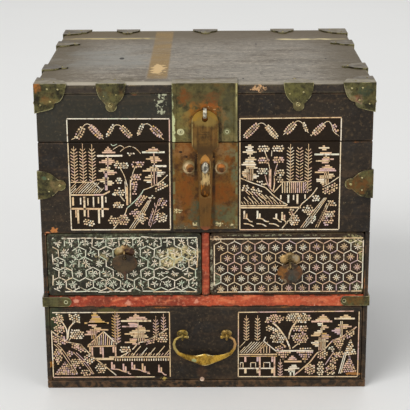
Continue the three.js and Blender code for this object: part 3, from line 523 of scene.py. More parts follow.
# The mounts of the lid's corners and edges and of the body: thin sheet brass, cut with a chisel to a
# scalloped outline, folded over the edge and nailed. They have dulled to olive.
MOUNT_ROUND = 0.00018
PIT_DEPTH = 0.00008


def brass_finish(name, dark, light, rust, bloom, rust_share=0.3, bloom_share=0.3, metal=0.6):
    """Sheet brass that has dulled: clouds of tarnish, rusty stains, and green bloom at the edges."""
    finish = Finish(name, metal=metal)
    clouds = finish.cloud(130, 5, 0.36, 0.64, rough=0.65)
    finish.base = finish.mix(clouds, dark, light)
    finish.tint(rust, finish.cloud(70, 4, 0.54, 0.68, 0.0, rust_share))
    edges = finish.effect(arris_wear, reach=0.0009, breaks=160.0)
    finish.tint(bloom, finish.span(edges, 0.2, 0.9, 0.0, bloom_share))
    pits = finish.noise(700, 3)
    finish.tint(dark, finish.span(pits, 0.58, 0.72, 0.0, 0.6))
    finish.mottle(dark, light)
    return finish, finish.span(clouds, 0.0, 1.0, 0.42, 0.6), pits


def stains_and_shading(finish, *stains_and_shades, soft=0.3):
    """Stains on brass, and a few painted shadows and highlights. Each is its place, how far it reaches across
    and up, its tint and strength.
    """
    cloudy = finish.cloud(330, 4, 0.38, 0.58, 0.3, 1.0, rough=0.7)
    for x, z, across, up, tint, share in stains_and_shades:
        finish.tint(tint, finish.spot(x, z, across, up, 0.5, 240.0, soft), cloudy, share)


def grey_on_top(finish):
    """The dusty grey of the lid's top board, which has crept over everything nailed down to it."""
    streaky = finish.cloud(90, 5, 0.35, 0.65, vector=finish.stretched(0.3, 1, 1))
    film = finish.mix(streaky, "#4b4030", "#766a55")
    film = finish.mix(finish.fade("Y", -108, -113, 0.0, 0.6), film, "#938972")
    finish.tint(film, finish.facing_up(), finish.cloud(150, 4, 0.3, 0.6, 0.6, 1.0))


finish, rough, pits = brass_finish("olive_brass", "#231f10", "#666038", "#6e4a22", "#b5ac7c", 0.4, 0.75)
plain = finish.base
stains_and_shading(
    finish,
    (-129.4, 251.2, 2.8, 3.6, "#b06a2a", 0.8),
    (-121.5, 242.2, 3.8, 2.4, "#7a461c", 0.5),
    (-118.5, 240.5, 6.2, 2.4, "#87703f", 0.5),
    (-79, 244, 5.2, 6.2, "#66674a", 0.6),
    (-73.2, 235.5, 4.8, 3.8, "#8a8054", 0.6),
    (69.7, 246.8, 9.5, 6.5, "#706a38", 0.65),
    (70.9, 236.2, 5.2, 4.2, "#7a6c48", 0.6),
    (116, 242.2, 4.8, 2.7, "#84502c", 0.85),
    (109.3, 246.8, 3.4, 3.4, "#8f8464", 0.75),
    (110.6, 242.7, 4.4, 3.2, "#83805a", 0.7),
    (116.8, 234.9, 4.4, 3.8, "#7e7854", 0.75),
    (119.2, 240.8, 2.6, 2.6, "#a5826a", 0.7),
    (122.1, 247.2, 5.2, 4.4, "#3f4a36", 0.7),
    (118, 173.5, 10.5, 8.5, "#6b451c", 0.9),
    (-116.5, 173.5, 5.2, 5.2, "#857048", 0.75),
    (-125.5, 179.3, 1.7, 1.4, "#4d8068", 0.4),
    (-118, 76.5, 6.2, 3.2, "#6b6743", 0.6),
    (121.5, 76.5, 8.5, 3.2, "#77501f", 0.75),
    (120.5, 80.8, 8.5, 0.8, "#d2c27c", 1.0),
)
finish.base = finish.mix(finish.fade("Y", -112, -119), plain, finish.base)
grey_on_top(finish)
olive_brass = finish.lay(rough, pits, PIT_DEPTH)
lid_mounts = [f"corner_mount_{place}" for place in ("front_left", "front_right", "back_right", "back_left")]
lid_mounts += ["edge_mount_front_left", "edge_mount_front_right", "edge_mount_back"]
lid_mounts += [f"side_mount_{side}_{end}" for side in ("left", "right") for end in ("front", "back")]
lid_mounts += ["hinge_upper_left", "hinge_upper_right"]
for node in lid_mounts:
    finished_copy(node, "lid", olive_brass, MOUNT_ROUND, 1)
for kind in ("body_mount", "rail_mount", "hinge_lower"):
    for side in ("left", "right"):
        finished_copy(f"{kind}_{side}", "carcass", olive_brass, MOUNT_ROUND, 1)

# The plates behind the hasp: one folded over the lid's edge, one below the parting line. Rust has
# come up in orange patches, and verdigris along the raised borders and round the studs.
finish, rough, pits = brass_finish("lid_plate_brass", "#3e381e", "#665d35", "#6e4419", "#8a8858", 0.5, 0.4)
stains_and_shading(
    finish,
    (0.6, 227.5, 12.8, 9.2, "#a8661f", 0.95),
    (5.2, 236.2, 4.5, 3.2, "#a2591c", 0.85),
    (-16.7, 242.8, 3.6, 5.8, "#7c4618", 0.85),
    (-8.8, 230.5, 3.6, 4.6, "#9c6822", 0.85),
    (6.2, 242.2, 4.8, 4.4, "#7c441c", 0.75),
    (-4, 243.5, 7.5, 4.2, "#66502c", 0.5),
    (17.2, 242, 6.2, 6.2, "#4a4630", 0.7),
    (-18.5, 225, 6.2, 9.2, "#82773f", 0.7),
    (-16.5, 212.5, 5.2, 6.2, "#867c48", 0.7),
    (17.5, 226.5, 6.2, 8.2, "#646244", 0.7),
    (16.8, 211, 6.2, 5.2, "#8a7a4c", 0.7),
    # a dark strip right of the hasp's head: the hasp's painted shadow
    (11.8, 216.5, 1.1, 12.5, "#33260f", 0.95),
)
finish.tint("#d2a876", finish.spot(4, 233.5, 4.2, 3.2, 0.3, 300.0), finish.cloud(640, 3, 0.57, 0.64))
inner = finish.fade("Z", 234, 222, -24.7, -23.3)
inner = finish.reckon("ADD", inner, finish.cloud(170, 3, 0.3, 0.7, -0.8, 0.8))
left_border = finish.span(finish.reckon("SUBTRACT", finish.along("X"), inner), 0.3, -0.3)
broken = finish.cloud(210, 4, 0.35, 0.5, 0.3, 1.0)
finish.tint("#ccd09c", left_border, finish.fade("Z", 236, 224, 0.6, 1.0), broken)
finish.tint("#b6ab74", finish.band("X", 23.6, 24.7, 0.4), finish.fade("Z", 226, 242, 0.3, 1.0), broken)
finish.tint("#d4cf9e", finish.spot(-18.8, 216, 2.7, 2.7, 0.1, 300.0))
finish.tint("#8f8f62", finish.spot(17, 216, 2.8, 2.8, 0.1, 300.0), 0.5)
grey_on_top(finish)
finished_copy("lid_plate", "lid", finish.lay(rough, pits, PIT_DEPTH), MOUNT_ROUND, 1)

finish, rough, pits = brass_finish("lock_plate_brass", "#4a2c0d", "#7e551c", "#84490a", "#8a7a48", 0.75, 0.4)
stains_and_shading(
    finish,
    (-17.5, 200.5, 6.5, 5.5, "#966a3c", 0.7),
    (16.5, 200.5, 6.5, 5.5, "#957042", 0.7),
    (-8.5, 150.5, 4.2, 10.5, "#50563e", 0.95),
    (13.5, 149.5, 9.5, 7.8, "#565a3e", 0.9),
    (20, 198.5, 4.2, 4.2, "#6c6848", 0.8),
    (21.5, 147.5, 4.2, 12.5, "#66623e", 0.85),
    (22.5, 183, 3.2, 9.2, "#676a4a", 0.85),
    (-16.5, 138.5, 10.5, 3.8, "#5f5840", 0.85),
    (16.5, 137.5, 8.5, 3.2, "#5c5238", 0.8),
    (13.5, 167.2, 7.2, 8.8, "#7c430a", 0.95),
    (-15.5, 167, 6.2, 13.2, "#80470e", 0.9),
    (-21.5, 153, 3.2, 9.2, "#7d5a34", 0.6),
)
# the studs: a washer, a pale rim painted brighter on its left as a highlight, and a dome with a dark spot low
# on its right, partly rust and partly painted shade
for x in (-12.4, 12.4):
    washer = finish.spot(x, 187.6, 6.4, 6.2, 0.2, 300.0, 0.15)
    finish.tint("#7d6a42", washer, finish.cloud(260, 3, 0.42, 0.56, 0.1, 1.0))
    pale_rim_and_highlight = finish.spot(x - 0.3, 187.2, 4.4, 4.3, 0.12, 300.0, 0.08)
    pale_rim_and_highlight = finish.times(pale_rim_and_highlight, finish.fade("X", x - 2, x + 4, 1.2, 0.35))
    finish.tint("#e6cb9c", pale_rim_and_highlight, finish.cloud(300, 3, 0.4, 0.55, 0.35, 1.0))
    finish.tint("#94632f", finish.spot(x + 0.3, 187.7, 3.6, 3.4, 0.2))
    finish.tint("#55351a", finish.spot(x + 0.6, 186.9, 2.2, 2.1, 0.4, 300.0, 0.1))
# a painted highlight at the top of the right stud's dome
finish.tint("#b06828", finish.spot(12.4, 189.7, 2.6, 1.4, 0.2, 300.0, 0.2), 0.85)
# what shows through the hasp's slot
finish.tint("#e0a050", finish.spot(0, 195, 6.2, 5.2, 0.3, 300.0, 0.1))
finish.tint("#dcbc80", finish.spot(0.2, 179, 4.2, 6.2, 0.3, 300.0, 0.1))
in_slot = finish.times(finish.band("X", -3.6, 3.6, 0.2), finish.band("Z", 163, 184, 0.8))
drips = finish.noise(620, 3, finish.stretched(1, 1, 0.22))
finish.tint("#5a3d18", in_slot, finish.span(drips, 0.5, 0.58, 0.0, 0.75))
finish.tint("#c07c28", in_slot, finish.fade("Z", 176.2, 172.2), finish.span(drips, 0.52, 0.44))
# painted shadows beside the hasp's tongue, cast by the left stud and by the tongue; nail holes, flecks, and
# verdigris at the sides and the foot
for x, low, high in ((-7.2, 181, 199.5), (6.6, 139, 199.5)):
    hasp_shadow = finish.times(finish.band("X", x - 1.2, x + 1.2, 0.6), finish.band("Z", low, high, 1.5))
    hasp_shadow = finish.times(hasp_shadow, finish.fade("Z", 160, 172, 0.5, 0.9))
    finish.tint("#2b1a08", hasp_shadow, finish.cloud(150, 3, 0.35, 0.55, 0.5, 1.0))
for x, z, size in (
    (-19, 200, 1),
    (-14.5, 196, 0.8),
    (-20, 151.5, 1),
    (-8.5, 140, 1),
    (10.5, 140, 1),
    (21, 140, 0.9),
    (8.5, 135.5, 0.9),
    (19, 135, 0.9),
):
    finish.tint("#2a1c0e", finish.spot(x, z, 1.3 * size, size, 0.2, 500.0))
for x, z, size in ((-22.2, 152, 2.2), (-8.6, 141.2, 1.6), (10.7, 141.2, 2), (20.5, 140.5, 1.3)):
    fleck = finish.spot(x, z, 1.3 * size, 0.8 * size, 0.5, 500.0)
    finish.tint("#d8c894", fleck, finish.cloud(900, 2, 0.44, 0.52))
finish.tint("#7d7a50", finish.outward(23.2, 23.8), finish.cloud(190, 3, 0.44, 0.56, 0.1, 0.8))
finish.tint("#c3bc94", finish.cloud(480, 4, 0.6, 0.67, rough=0.7), finish.band("Z", 134, 141.5, 1))
finished_copy("lock_plate", "carcass", finish.lay(rough, pits, PIT_DEPTH), MOUNT_ROUND, 1)

# The hasp: a heavier brass plate with a slot, filed along its length, which hangs from the eye on the
# lid's plate. A rim of gilding has stayed at its head.
finish, rough, pits = brass_finish("hasp_brass", "#46300f", "#755322", "#74451a", "#a08848", 0.5, 0.7)
brushing = finish.noise(420, 3, finish.stretched(1, 1, 0.04))
finish.tint("#94783f", finish.span(brushing, 0.52, 0.68, 0.0, 0.6))
finish.tint("#3b2a14", finish.span(brushing, 0.46, 0.34, 0.0, 0.5))
finish.tint("#957a3c", finish.spot(0, 226.5, 10.5, 5.2, 0.2, 240.0, 0.25), 0.75)
gilt = finish.reckon("SUBTRACT", 1.0, finish.spot(1.2, 221.5, 8.2, 8.2, 0.15, 240.0))
gilt = finish.times(gilt, finish.fade("Z", 224.5, 226.2), finish.fade("X", 2, 9, 1.0, 0.45))
finish.tint("#a07a2a", gilt, finish.cloud(300, 3, 0.35, 0.55, 0.5, 0.95))
# a dark band at the step where the hasp narrows to its tongue: painted shade
finish.tint("#463014", finish.fade("Z", 209, 203.5), finish.fade("Z", 196.5, 200.5), 0.75)
beside_slot = finish.times(finish.band("Z", 163.5, 194.5, 1), finish.outward(4.6, 3.8))
finish.tint("#a98a54", beside_slot, finish.cloud(420, 3, 0.44, 0.56, rough=0.7), 0.85)
finish.tint("#6e4a1c", finish.fade("Z", 200, 196), finish.cloud(90, 3, 0.35, 0.6, 0.2, 0.8))
finish.tint("#8a4a30", finish.fade("Z", 141.5, 138.5), 0.8)
# a paler line on the head's left edge only: a painted highlight
left_arris_highlight = finish.band("X", -10.4, -9.4, 0.3)
finish.tint("#a08c58", left_arris_highlight, finish.cloud(260, 3, 0.35, 0.5, 0.3, 1.0), 0.8)
for z, left, right in ((214.6, -5.6, 1.7), (207.2, -5.6, 1.7), (216.6, -3, 4)):
    finish.tint("#23180a", finish.band("Z", z - 0.2, z + 0.2, 0.2), finish.band("X", left, right, 0.8), 0.75)
finished_copy("hasp", "hasp", finish.lay(rough, brushing, PIT_DEPTH), MOUNT_ROUND, 1)

# The eye and the catch: a staple through the lid's plate that carries the hasp, and a stud below it
# that comes through the hasp's slot. Both are white metal, rubbed bright by use.
finish = Finish("white_metal", metal=0.5)
clouds = finish.cloud(260, 4, 0.35, 0.65)
finish.base = finish.mix(clouds, "#7d786a", "#cfc7b0")
finish.mottle("#3f3a30", "#efe6cf", 620.0, 0.8)
# a dark spot on the catch stud: painted shade standing in for a hole
finish.tint("#33322f", finish.spot(0, 187.7, 1.4, 2.5, 0.2), 0.8)
worn = finish.effect(arris_wear, reach=0.0006, breaks=200.0)
finish.tint("#dcdcd4", finish.span(worn, 0.2, 0.9, 0.0, 0.5))
white_metal = finish.lay(finish.span(clouds, 0.0, 1.0, 0.3, 0.5), clouds, 0.00005)
finished_copy("hasp_eye", "lid", white_metal)
finished_copy("catch_stud", "carcass", white_metal, MOUNT_ROUND, 1)

# The drawer pulls: two rosettes with hanging leaves on the small drawers, and a swan-necked bail on
# the wide one, all cast in yellow brass and browned on the leaves.
CAST_DEPTH = 0.00012
finish, rough, pits = brass_finish(
    "yellow_brass", "#6a4e14", "#d2a840", "#9a6420", "#eeda9c", 0.45, 1.0, 0.7
)
plain = finish.base
finish.mottle("#5e3f10", "#d9a548", 620.0, 0.9)
engraved = finish.spot(-1.3, 27, 12.5, 5.2, 0.2, 240.0, 0.3)
finish.base = finish.mix(finish.times(engraved, 0.85), plain, finish.base)
finish.tint("#bba968", finish.spot(-25.5, 39, 3.2, 8.2, 0.3, 200.0, 0.3), 0.7)
finish.tint("#c99a70", finish.spot(22.5, 42.5, 3.2, 5.2, 0.3, 200.0, 0.3), 0.6)
finish.tint("#a8bd92", finish.spot(-9.7, 26.6, 1.9, 1.5, 0.4, soft=0.1), 0.65)
for x, tint in ((-19.1, "#7c6c34"), (16.5, "#866c38")):
    disc = finish.spot(x, 48.2, 4.8, 3.4, 0.15, soft=0.1)
    finish.tint(tint, disc, 0.65)
    finish.tint("#262011", disc, finish.cloud(560, 3, 0.52, 0.62, 0.0, 0.8))
yellow_brass = finish.lay(finish.reckon("SUBTRACT", rough, 0.08), pits, CAST_DEPTH)
finished_copy("bail", "bail", yellow_brass)

finish, rough, pits = brass_finish(
    "boss_brass", "#7d6238", "#b59662", "#8a5a2c", "#d8bb84", 0.4, 0.6, 0.5
)
stains_and_shading(
    finish,
    # the left boss: its right half painted dark as shade, and a cream spot at its upper left as a painted
    # highlight
    (-59.8, 118.5, 5.2, 8.2, "#3d2216", 1.0),
    (-59.8, 118.5, 4.6, 7.5, "#3d2216", 0.9),
    (-68.2, 120.5, 2.6, 3.2, "#c9b284", 0.8),
    (-71.5, 117.5, 2.2, 4.2, "#77713f", 0.6),
    (-64.4, 115.5, 1.8, 2.6, "#1d140c", 0.9),
    (67.1, 112.5, 2.6, 4.2, "#33290f", 0.95),
    (67.1, 116.5, 3.4, 1.8, "#5f4c22", 0.7),
    (61.8, 112.5, 2.4, 3.4, "#c9a468", 0.8),
    (72.2, 112.5, 2.4, 3.6, "#a0937a", 0.8),
    soft=0.15,
)
boss_brass = finish.lay(rough, pits)

finish, rough, pits = brass_finish(
    "leaf_brass", "#2b2116", "#54432c", "#6b4220", "#7d6848", 0.5, 0.6, 0.45
)
stains_and_shading(
    finish,
    (-64.4, 97.5, 3.2, 4.2, "#6b4230", 0.7),
    (60.2, 102.5, 5.2, 6.5, "#8c5a22", 0.9),
    (73.8, 102.5, 3.8, 6.2, "#764a24", 0.8),
    (67.1, 105.5, 3.2, 1.2, "#a58a5c", 0.8),
    (68.5, 98.5, 4.2, 5.2, "#46443a", 0.75),
    (67.5, 96.5, 1.9, 1.6, "#3f5c56", 0.4),
    (62.2, 94.5, 2.2, 1.4, "#8f8064", 0.7),
    soft=0.2,
)
leaf_brass = finish.lay(rough, pits)
for side in ("left", "right"):
    finished_copy(f"pull_boss_{side}", f"drawer_{side}", boss_brass, MOUNT_ROUND, 1)
    finished_copy(f"pull_leaf_{side}", f"leaf_{side}", leaf_brass, MOUNT_ROUND, 1)
    finished_copy(f"bail_post_{side}", "drawer_wide", yellow_brass)

# The nails: round-headed brass nails that hold the mounts, two with a ring under the head at the
# rail's straps, and two with a pale washer on the lid's plate.
HEAD_DEPTH = 0.00005
HEAD_STEPS = 10
finish, rough, pits = brass_finish(
    "nail_brass", "#7d7043", "#b3a56c", "#7a5a2c", "#d8cc98", 0.3, 0.8, 0.7
)
finish.tint("#3c3527", finish.facing_up())
nail_brass = finish.lay(finish.reckon("SUBTRACT", rough, 0.12), pits, HEAD_DEPTH)
finish, rough, pits = brass_finish(
    "ring_brass", "#8a8558", "#b5b188", "#6d6238", "#cfd0a8", 0.3, 0.6, 0.5
)
for x, z, size, tint in (
    (-18.8, 216, 0.8, "#3a3018"),
    (17, 216, 0.7, "#4a4020"),
    (-112.4, 75.8, 0.9, "#2e2a1a"),
    (110.9, 76, 0.9, "#2e2a1a"),
):
    finish.tint(tint, finish.spot(x, z, size, size, 0.1))
ring_brass = finish.lay(rough, pits, HEAD_DEPTH)
FORWARD, BACKWARD, UP = (0, -1, 0), (0, 1, 0), (0, 0, 1)
FACE, SIDE, HINGE, LID_FACE = -123.3, 131.3, 126.7, 254.3
NAIL_HEAD = ((0, 0.75), (0.45, 0.68), (0.8, 0.45), (1, 0), (0.9, -0.25))
DOME_AND_RING = ((0, 0.55), (0.4, 0.45), (0.6, 0.1), (0.7, -0.1), (1.15, 0), (1.35, 0.35))
DOME_AND_RING += ((1.7, 0.35), (1.95, 0), (1.95, -0.3))


def nails(name, body, finish, profile, *spots):
    """Turned heads. Each spot is its place in millimetres, its size and the side it looks to."""
    bm = bmesh.new()
    for x, y, z, size, side in spots:
        turned = Vector((0, 0, 1)).rotation_difference(Vector(side)).to_matrix().to_4x4()
        seat = Matrix.Scale(MM, 4) @ Matrix.Translation((x, y, z)) @ turned @ Matrix.Scale(size, 4)
        verts = [bm.verts.new(seat @ Vector((radius, 0, rise))) for radius, rise in profile]
        edges = [bm.edges.new(pair) for pair in zip(verts, verts[1:])]
        bmesh.ops.spin(
            bm,
            geom=verts + edges,
            cent=seat @ Vector((0, 0, 0)),
            axis=(seat.to_3x3() @ Vector((0, 0, 1))).normalized(),
            angle=math.tau,
            steps=HEAD_STEPS,
            use_merge=True,
            use_duplicate=False,
        )
    bmesh.ops.remove_doubles(bm, verts=bm.verts, dist=MERGE)
    bmesh.ops.recalc_face_normals(bm, faces=bm.faces)
    for face in bm.faces:
        face.smooth = True
    mesh = bpy.data.meshes.new(name)
    bm.to_mesh(mesh)
    bm.free()
    return place_piece(mesh, name, body, finish)


lid_spots, body_spots = [], []
for side in (-1, 1):
    outward = (side, 0, 0)
    for x, z, size in ((120.8, 250.2, 0.9), (112.6, 249.8, 0.9), (118.7, 240.4, 1.1), (126.6, 237.6, 0.9)):
        lid_spots.append((side * x, FACE, z, size, FORWARD))
    for y, z, size in ((-107, 250, 0.9), (-118.5, 238.4, 1.5), (107, 250, 0.9), (118.5, 238.4, 1.0)):
        lid_spots.append((side * SIDE, y, z, size, outward))
    for x, y, size in ((116, 118, 0.8), (126, 106, 0.8)):
        lid_spots += [(side * x, -y, LID_FACE, size, UP), (side * x, y, LID_FACE, size, UP)]
    lid_spots += [(side * 69.6, -108, LID_FACE, 0.9, UP), (side * 72, 107, LID_FACE, 0.9, UP)]
    for y in (-56, 51):
        lid_spots += [(side * SIDE, y + step, 246.4, 0.85, outward) for step in (-5, 5)]
        lid_spots += [(side * SIDE, y, 237.8, 1.1, outward), (side * 115.8, y, LID_FACE, 0.9, UP)]
    for x, z, size in ((113.6, 173.4, 1.3), (122.4, 178.6, 0.8), (122.4, 168.6, 0.8)):
        body_spots.append((side * x, FACE, z, size, FORWARD))
    body_spots += [(side * SIDE, -107.4, 173.6, 1.1, outward), (side * SIDE, -110, 75.8, 1.0, outward)]
    body_spots += [(side * 72, HINGE, z, 1.1, BACKWARD) for z in (186, 176)]
lid_spots += [(0, 123.3, 238, 1.1, BACKWARD), (0, 107, LID_FACE, 0.9, UP), (-0.9, -108.5, LID_FACE, 0.9, UP)]
for x, z in ((-77.6, 244.3), (-67.9, 245.4), (65.2, 245.6), (75.6, 247)):
    lid_spots.append((x, FACE, z, 0.85, FORWARD))
lobe_spots = ((-72.6, FACE, 237.2, 1.0, FORWARD), (71.6, FACE, 237.4, 0.95, FORWARD))
rail_spots = ((-112.4, FACE, 75.8, 0.9, FORWARD), (110.9, FACE, 76, 0.9, FORWARD))
plate_spots = ((-18.8, FACE, 216, 0.95, FORWARD), (17, FACE, 216, 0.8, FORWARD))
nails("nails_lid", "lid", nail_brass, NAIL_HEAD, *lid_spots)
nails("lobe_nails", "lid", nail_brass, DOME_AND_RING, *lobe_spots)
nails("nails_body", "carcass", nail_brass, NAIL_HEAD, *body_spots)
nails("ring_nails", "carcass", ring_brass, DOME_AND_RING, *rail_spots)
nails("washer_nails", "lid", ring_brass, DOME_AND_RING, *plate_spots)
finish, rough, pits = brass_finish(
    "pink_brass", "#8a6a58", "#e0c0a6", "#8a5a3c", "#f0dcc4", 0.3, 0.8, 0.4
)
pink_brass = finish.lay(rough, pits, HEAD_DEPTH)
nails("wide_drawer_nail", "drawer_wide", pink_brass, DOME_AND_RING, (-3.5, -122.2, 7.6, 1.0, FORWARD))

# The shell inlay: strips, bars and grains cut from mother-of-pearl, glued to the ground and polished
# flush with the lacquer. Each panel is laid out in millimetres across and above the base.
SHELL_THICK = 0.5
SHELL_PROUD = 0.1
STRIP = 0.78
FINE_STRIP = 0.5
SHORTEST = 0.2
BAR_PITCH = 1.35
CEDAR_PITCH = 2.5
GRAIN_PITCH = 1.95
WEDGE_PITCH = 1.75
CEDAR_STEM, CEDAR_TWIG, CEDAR_RISE = 0.42, 0.58, 1.65
STAR_MARGIN = 1.5
SHORT_RAY = 0.88
SCATTER = 0.16
GREEN, WHITE, CREAM, PEACH, PINK, LILAC, GOLD = 0.0, 0.2, 0.38, 0.54, 0.7, 0.85, 1.0
LEAST_TONE = 0.12
TONE_SPREAD = 0.1
SHELL_TINTS = (
    (GREEN, "#c2cfb2"),
    (WHITE, "#f3e5ce"),
    (CREAM, "#ebd3ab"),
    (PEACH, "#dfb988"),
    (PINK, "#e4b9a3"),
    (LILAC, "#caaeb2"),
    (GOLD, "#d2a75e"),
)

finish = Finish("shell_inlay", shine=0.35)
tone = finish.node("ShaderNodeAttribute", attribute_name="tone").outputs["Fac"]
play = finish.cloud(210, 3, 0.25, 0.75, -0.05, 0.05)
tints = finish.node("ShaderNodeValToRGB", {"Fac": finish.reckon("ADD", tone, play)})
for place, code in SHELL_TINTS[1:-1]:
    tints.color_ramp.elements.new(place)
for element, (place, code) in zip(tints.color_ramp.elements, SHELL_TINTS):
    element.color = colour(code)
finish.base = tints.outputs["Color"]
finish.tint("#6e4c2c", finish.cloud(380, 3, 0.53, 0.7, 0.0, 0.7))
shell = finish.lay(finish.cloud(90, 3, 0.3, 0.7, 0.25, 0.45))


def eased(a, b, c, d, t):
    """A value between b and c on the smooth curve that comes from a and goes on to d."""
    bend = (2 * a - 5 * b + 4 * c - d) * t * t
    return 0.5 * (2 * b + (c - a) * t + bend + (3 * b - a - 3 * c + d) * t**3)


def smooth_path(points):
    """Points on a smooth curve through the given ones."""
    ends = [points[0], *points, points[-1]]
    made = [points[0]]
    for near in zip(ends, ends[1:], ends[2:], ends[3:]):
        for t in (0.25, 0.5, 0.75, 1.0):
            made.append(tuple(eased(*values, t) for values in zip(*near)))
    return made


class ShellWork:
    """One panel of inlay on the face of a board, made piece by piece into one mesh.

    Where no hue is given, a piece has the panel's own."""

    def __init__(self, name, node, body, seed, hue=CREAM, lost=0.02, slip=0.0):
        self.name, self.body = name, body
        self.face_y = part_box(node)[0].y / MM
        self.random = random.Random(seed)
        self.hue, self.lost, self.slip = hue, lost, slip
        self.bm = bmesh.new()
        self.tone = self.bm.faces.layers.float.new("tone")

    def slab(self, x, z, wide, tall, turn=0.0, hue=None):
        """One cut piece of shell. turn is in radians, against the clock seen from the front."""
        hue = self.hue if hue is None else hue
        if self.random.random() < self.lost:
            return
        x += self.random.gauss(0, self.slip)
        z += self.random.gauss(0, self.slip)
        turn += self.random.gauss(0, 0.15 * self.slip)
        middle = self.face_y - SHELL_PROUD + SHELL_THICK / 2
        place = Matrix.Translation((x, middle, z)) @ Matrix.Rotation(-turn, 4, "Y")
        shape = Matrix.Diagonal((wide, SHELL_THICK, tall, 1))
        verts = bmesh.ops.create_cube(self.bm, size=1, matrix=Matrix.Scale(MM, 4) @ place @ shape)["verts"]
        tone = min(1.0, max(min(hue, LEAST_TONE), hue + self.random.gauss(0, TONE_SPREAD)))
        for face in {face for vert in verts for face in vert.link_faces}:
            face[self.tone] = tone

    def strip(self, start, end, wide=FINE_STRIP, hue=None):
        run, rise = end[0] - start[0], end[1] - start[1]
        length = math.hypot(run, rise)
        if length > SHORTEST:
            middle = ((start[0] + end[0]) / 2, (start[1] + end[1]) / 2)
            self.slab(*middle, length, wide, math.atan2(rise, run), hue)

    def line(self, *points, wide=FINE_STRIP, hue=None, curved=True):
        """A line of short strips through the points, such as a hill, a branch or a stem."""
        path = smooth_path(points) if curved and len(points) > 2 else points
        for start, end in zip(path, path[1:]):
            self.strip(start, end, wide, hue)

    def border(self, start, end, hue=None, piece=16.0):
        """A straight border line, pieced together from cut strips. A sound panel has lost none."""
        start, end = Vector(start), Vector(end)
        count = max(1, round((end - start).length / piece))
        lost = self.lost
        self.lost = lost if lost > 0.1 else 0.0
        for i in range(count):
            tone = (self.hue if hue is None else hue) + self.random.uniform(-0.12, 0.12)
            self.strip(start.lerp(end, i / count), start.lerp(end, (i + 0.99) / count), STRIP, tone)
        self.lost = lost

    def boughs(self, top, *rows, hue=None):
        """A pine's foliage: flat bars, one under the other. Each row is its left and right end."""
        for i, (left, right) in enumerate(rows):
            self.slab((left + right) / 2, top - i * BAR_PITCH, right - left, BAR_PITCH * 0.8, 0, hue)

    def posts(self, *posts, wide=1.0, hue=None):
        """Upright strips, each given by its place and its upper and lower end."""
        for x, high, low in posts:
            self.slab(x, (high + low) / 2, wide, high - low, 0, hue)

    def stems(self, high, low, *places, wide=0.6, hue=PEACH):
        """The thin upright strips of a pine's trunk, side by side."""
        for x in places:
            self.strip((x, high), (x, low), wide, hue)

    def cedar(self, x, foot, tip, half=2.7, hue=None):
        """A slim tree: a stem with pairs of short strips that rise from it on both sides."""
        self.strip((x, foot), (x, tip), CEDAR_STEM, hue)
        count = int((tip - foot - 1) / CEDAR_PITCH)
        for i in range(count):
            z = foot + i * CEDAR_PITCH
            reach = half * min(1.0, 0.4 + 0.3 * (count - i))
            for side in (-1, 1):
                self.strip((x + side * 0.3, z), (x + side * reach, z + CEDAR_RISE), CEDAR_TWIG, hue)

    def grain(self, x, z, hue=None, lean=0.0):
        size = self.random.uniform(1.1, 1.5)
        hue = (self.hue if hue is None else hue) + self.random.gauss(0, 0.07)
        tall = size * self.random.uniform(0.75, 1.0)
        self.slab(x, z, size, tall, lean + self.random.uniform(-0.6, 0.6), hue)

    def clump(self, x, z, across, up, tilt=0.0, hue=None):
        """Leaves or blossom: grains in rows inside an oval. across and up are half its size."""
        tilt = math.radians(tilt)
        cos, sin = math.cos(tilt), math.sin(tilt)
        rows = int(up / GRAIN_PITCH) + 1
        columns = int(across / GRAIN_PITCH) + 1
        for row in range(-rows, rows + 1):
            for column in range(-columns, columns + 1):
                u = (column + (0.5 if row % 2 else 0.0)) * GRAIN_PITCH + self.random.gauss(0, SCATTER)
                v = row * GRAIN_PITCH * 0.9 + self.random.gauss(0, SCATTER)
                if (u / across) ** 2 + (v / up) ** 2 < 1.0 + self.random.uniform(-0.15, 0.1):
                    self.grain(x + u * cos - v * sin, z + u * sin + v * cos, hue, tilt)

    def clumps(self, *clumps):
        for clump in clumps:
            self.clump(*clump)

    def wedge(self, tip, left, right, hue=None):
        """A triangle of grains, in rows from its tip to the side between left and right."""
        tip, left, right = Vector(tip), Vector(left), Vector(right)
        rows = max(2, round(((left + right) / 2 - tip).length / WEDGE_PITCH))
        for row in range(rows + 1):
            a, b = tip.lerp(left, row / rows), tip.lerp(right, row / rows)
            count = max(1, round((b - a).length / WEDGE_PITCH))
            for i in range(count + 1):
                spot = a.lerp(b, i / count)
                self.grain(spot.x + self.random.gauss(0, 0.12), spot.y + self.random.gauss(0, 0.12), hue)

    def garland(self, stem, *clusters):
        """An arched spray: a thin stem with grains in two or three rows along parts of it."""
        self.line(*stem)
        for start, end, half, tint in clusters:
            start, end = Vector(start), Vector(end)
            along = (end - start).normalized()
            across = Vector((-along.y, along.x))
            count = round((end - start).length / GRAIN_PITCH)
            rows = (-1.1, 0.0, 1.1) if half > 1.45 else (-0.75, 0.75)
            for i in range(count + 1):
                share = i / count
                reach = half * math.sin(math.pi * (0.2 + 0.6 * share)) ** 0.6
                for side in rows:
                    spot = start.lerp(end, share) + across * side * reach
                    self.grain(spot.x, spot.y, tint, math.atan2(along.y, along.x))

    def hatch(self, start, end, reach, spacing=1.9, wide=FINE_STRIP, hue=None, vary=0.0):
        """Parallel strokes that stand on the line from start to end and reach the same way."""
        start, end, reach = Vector(start), Vector(end), Vector(reach)
        count = max(1, int((end - start).length / spacing))
        for i in range(count + 1):
            foot = start.lerp(end, i / count)
            self.strip(foot, foot + reach * (1 - vary * self.random.random()), wide, hue)

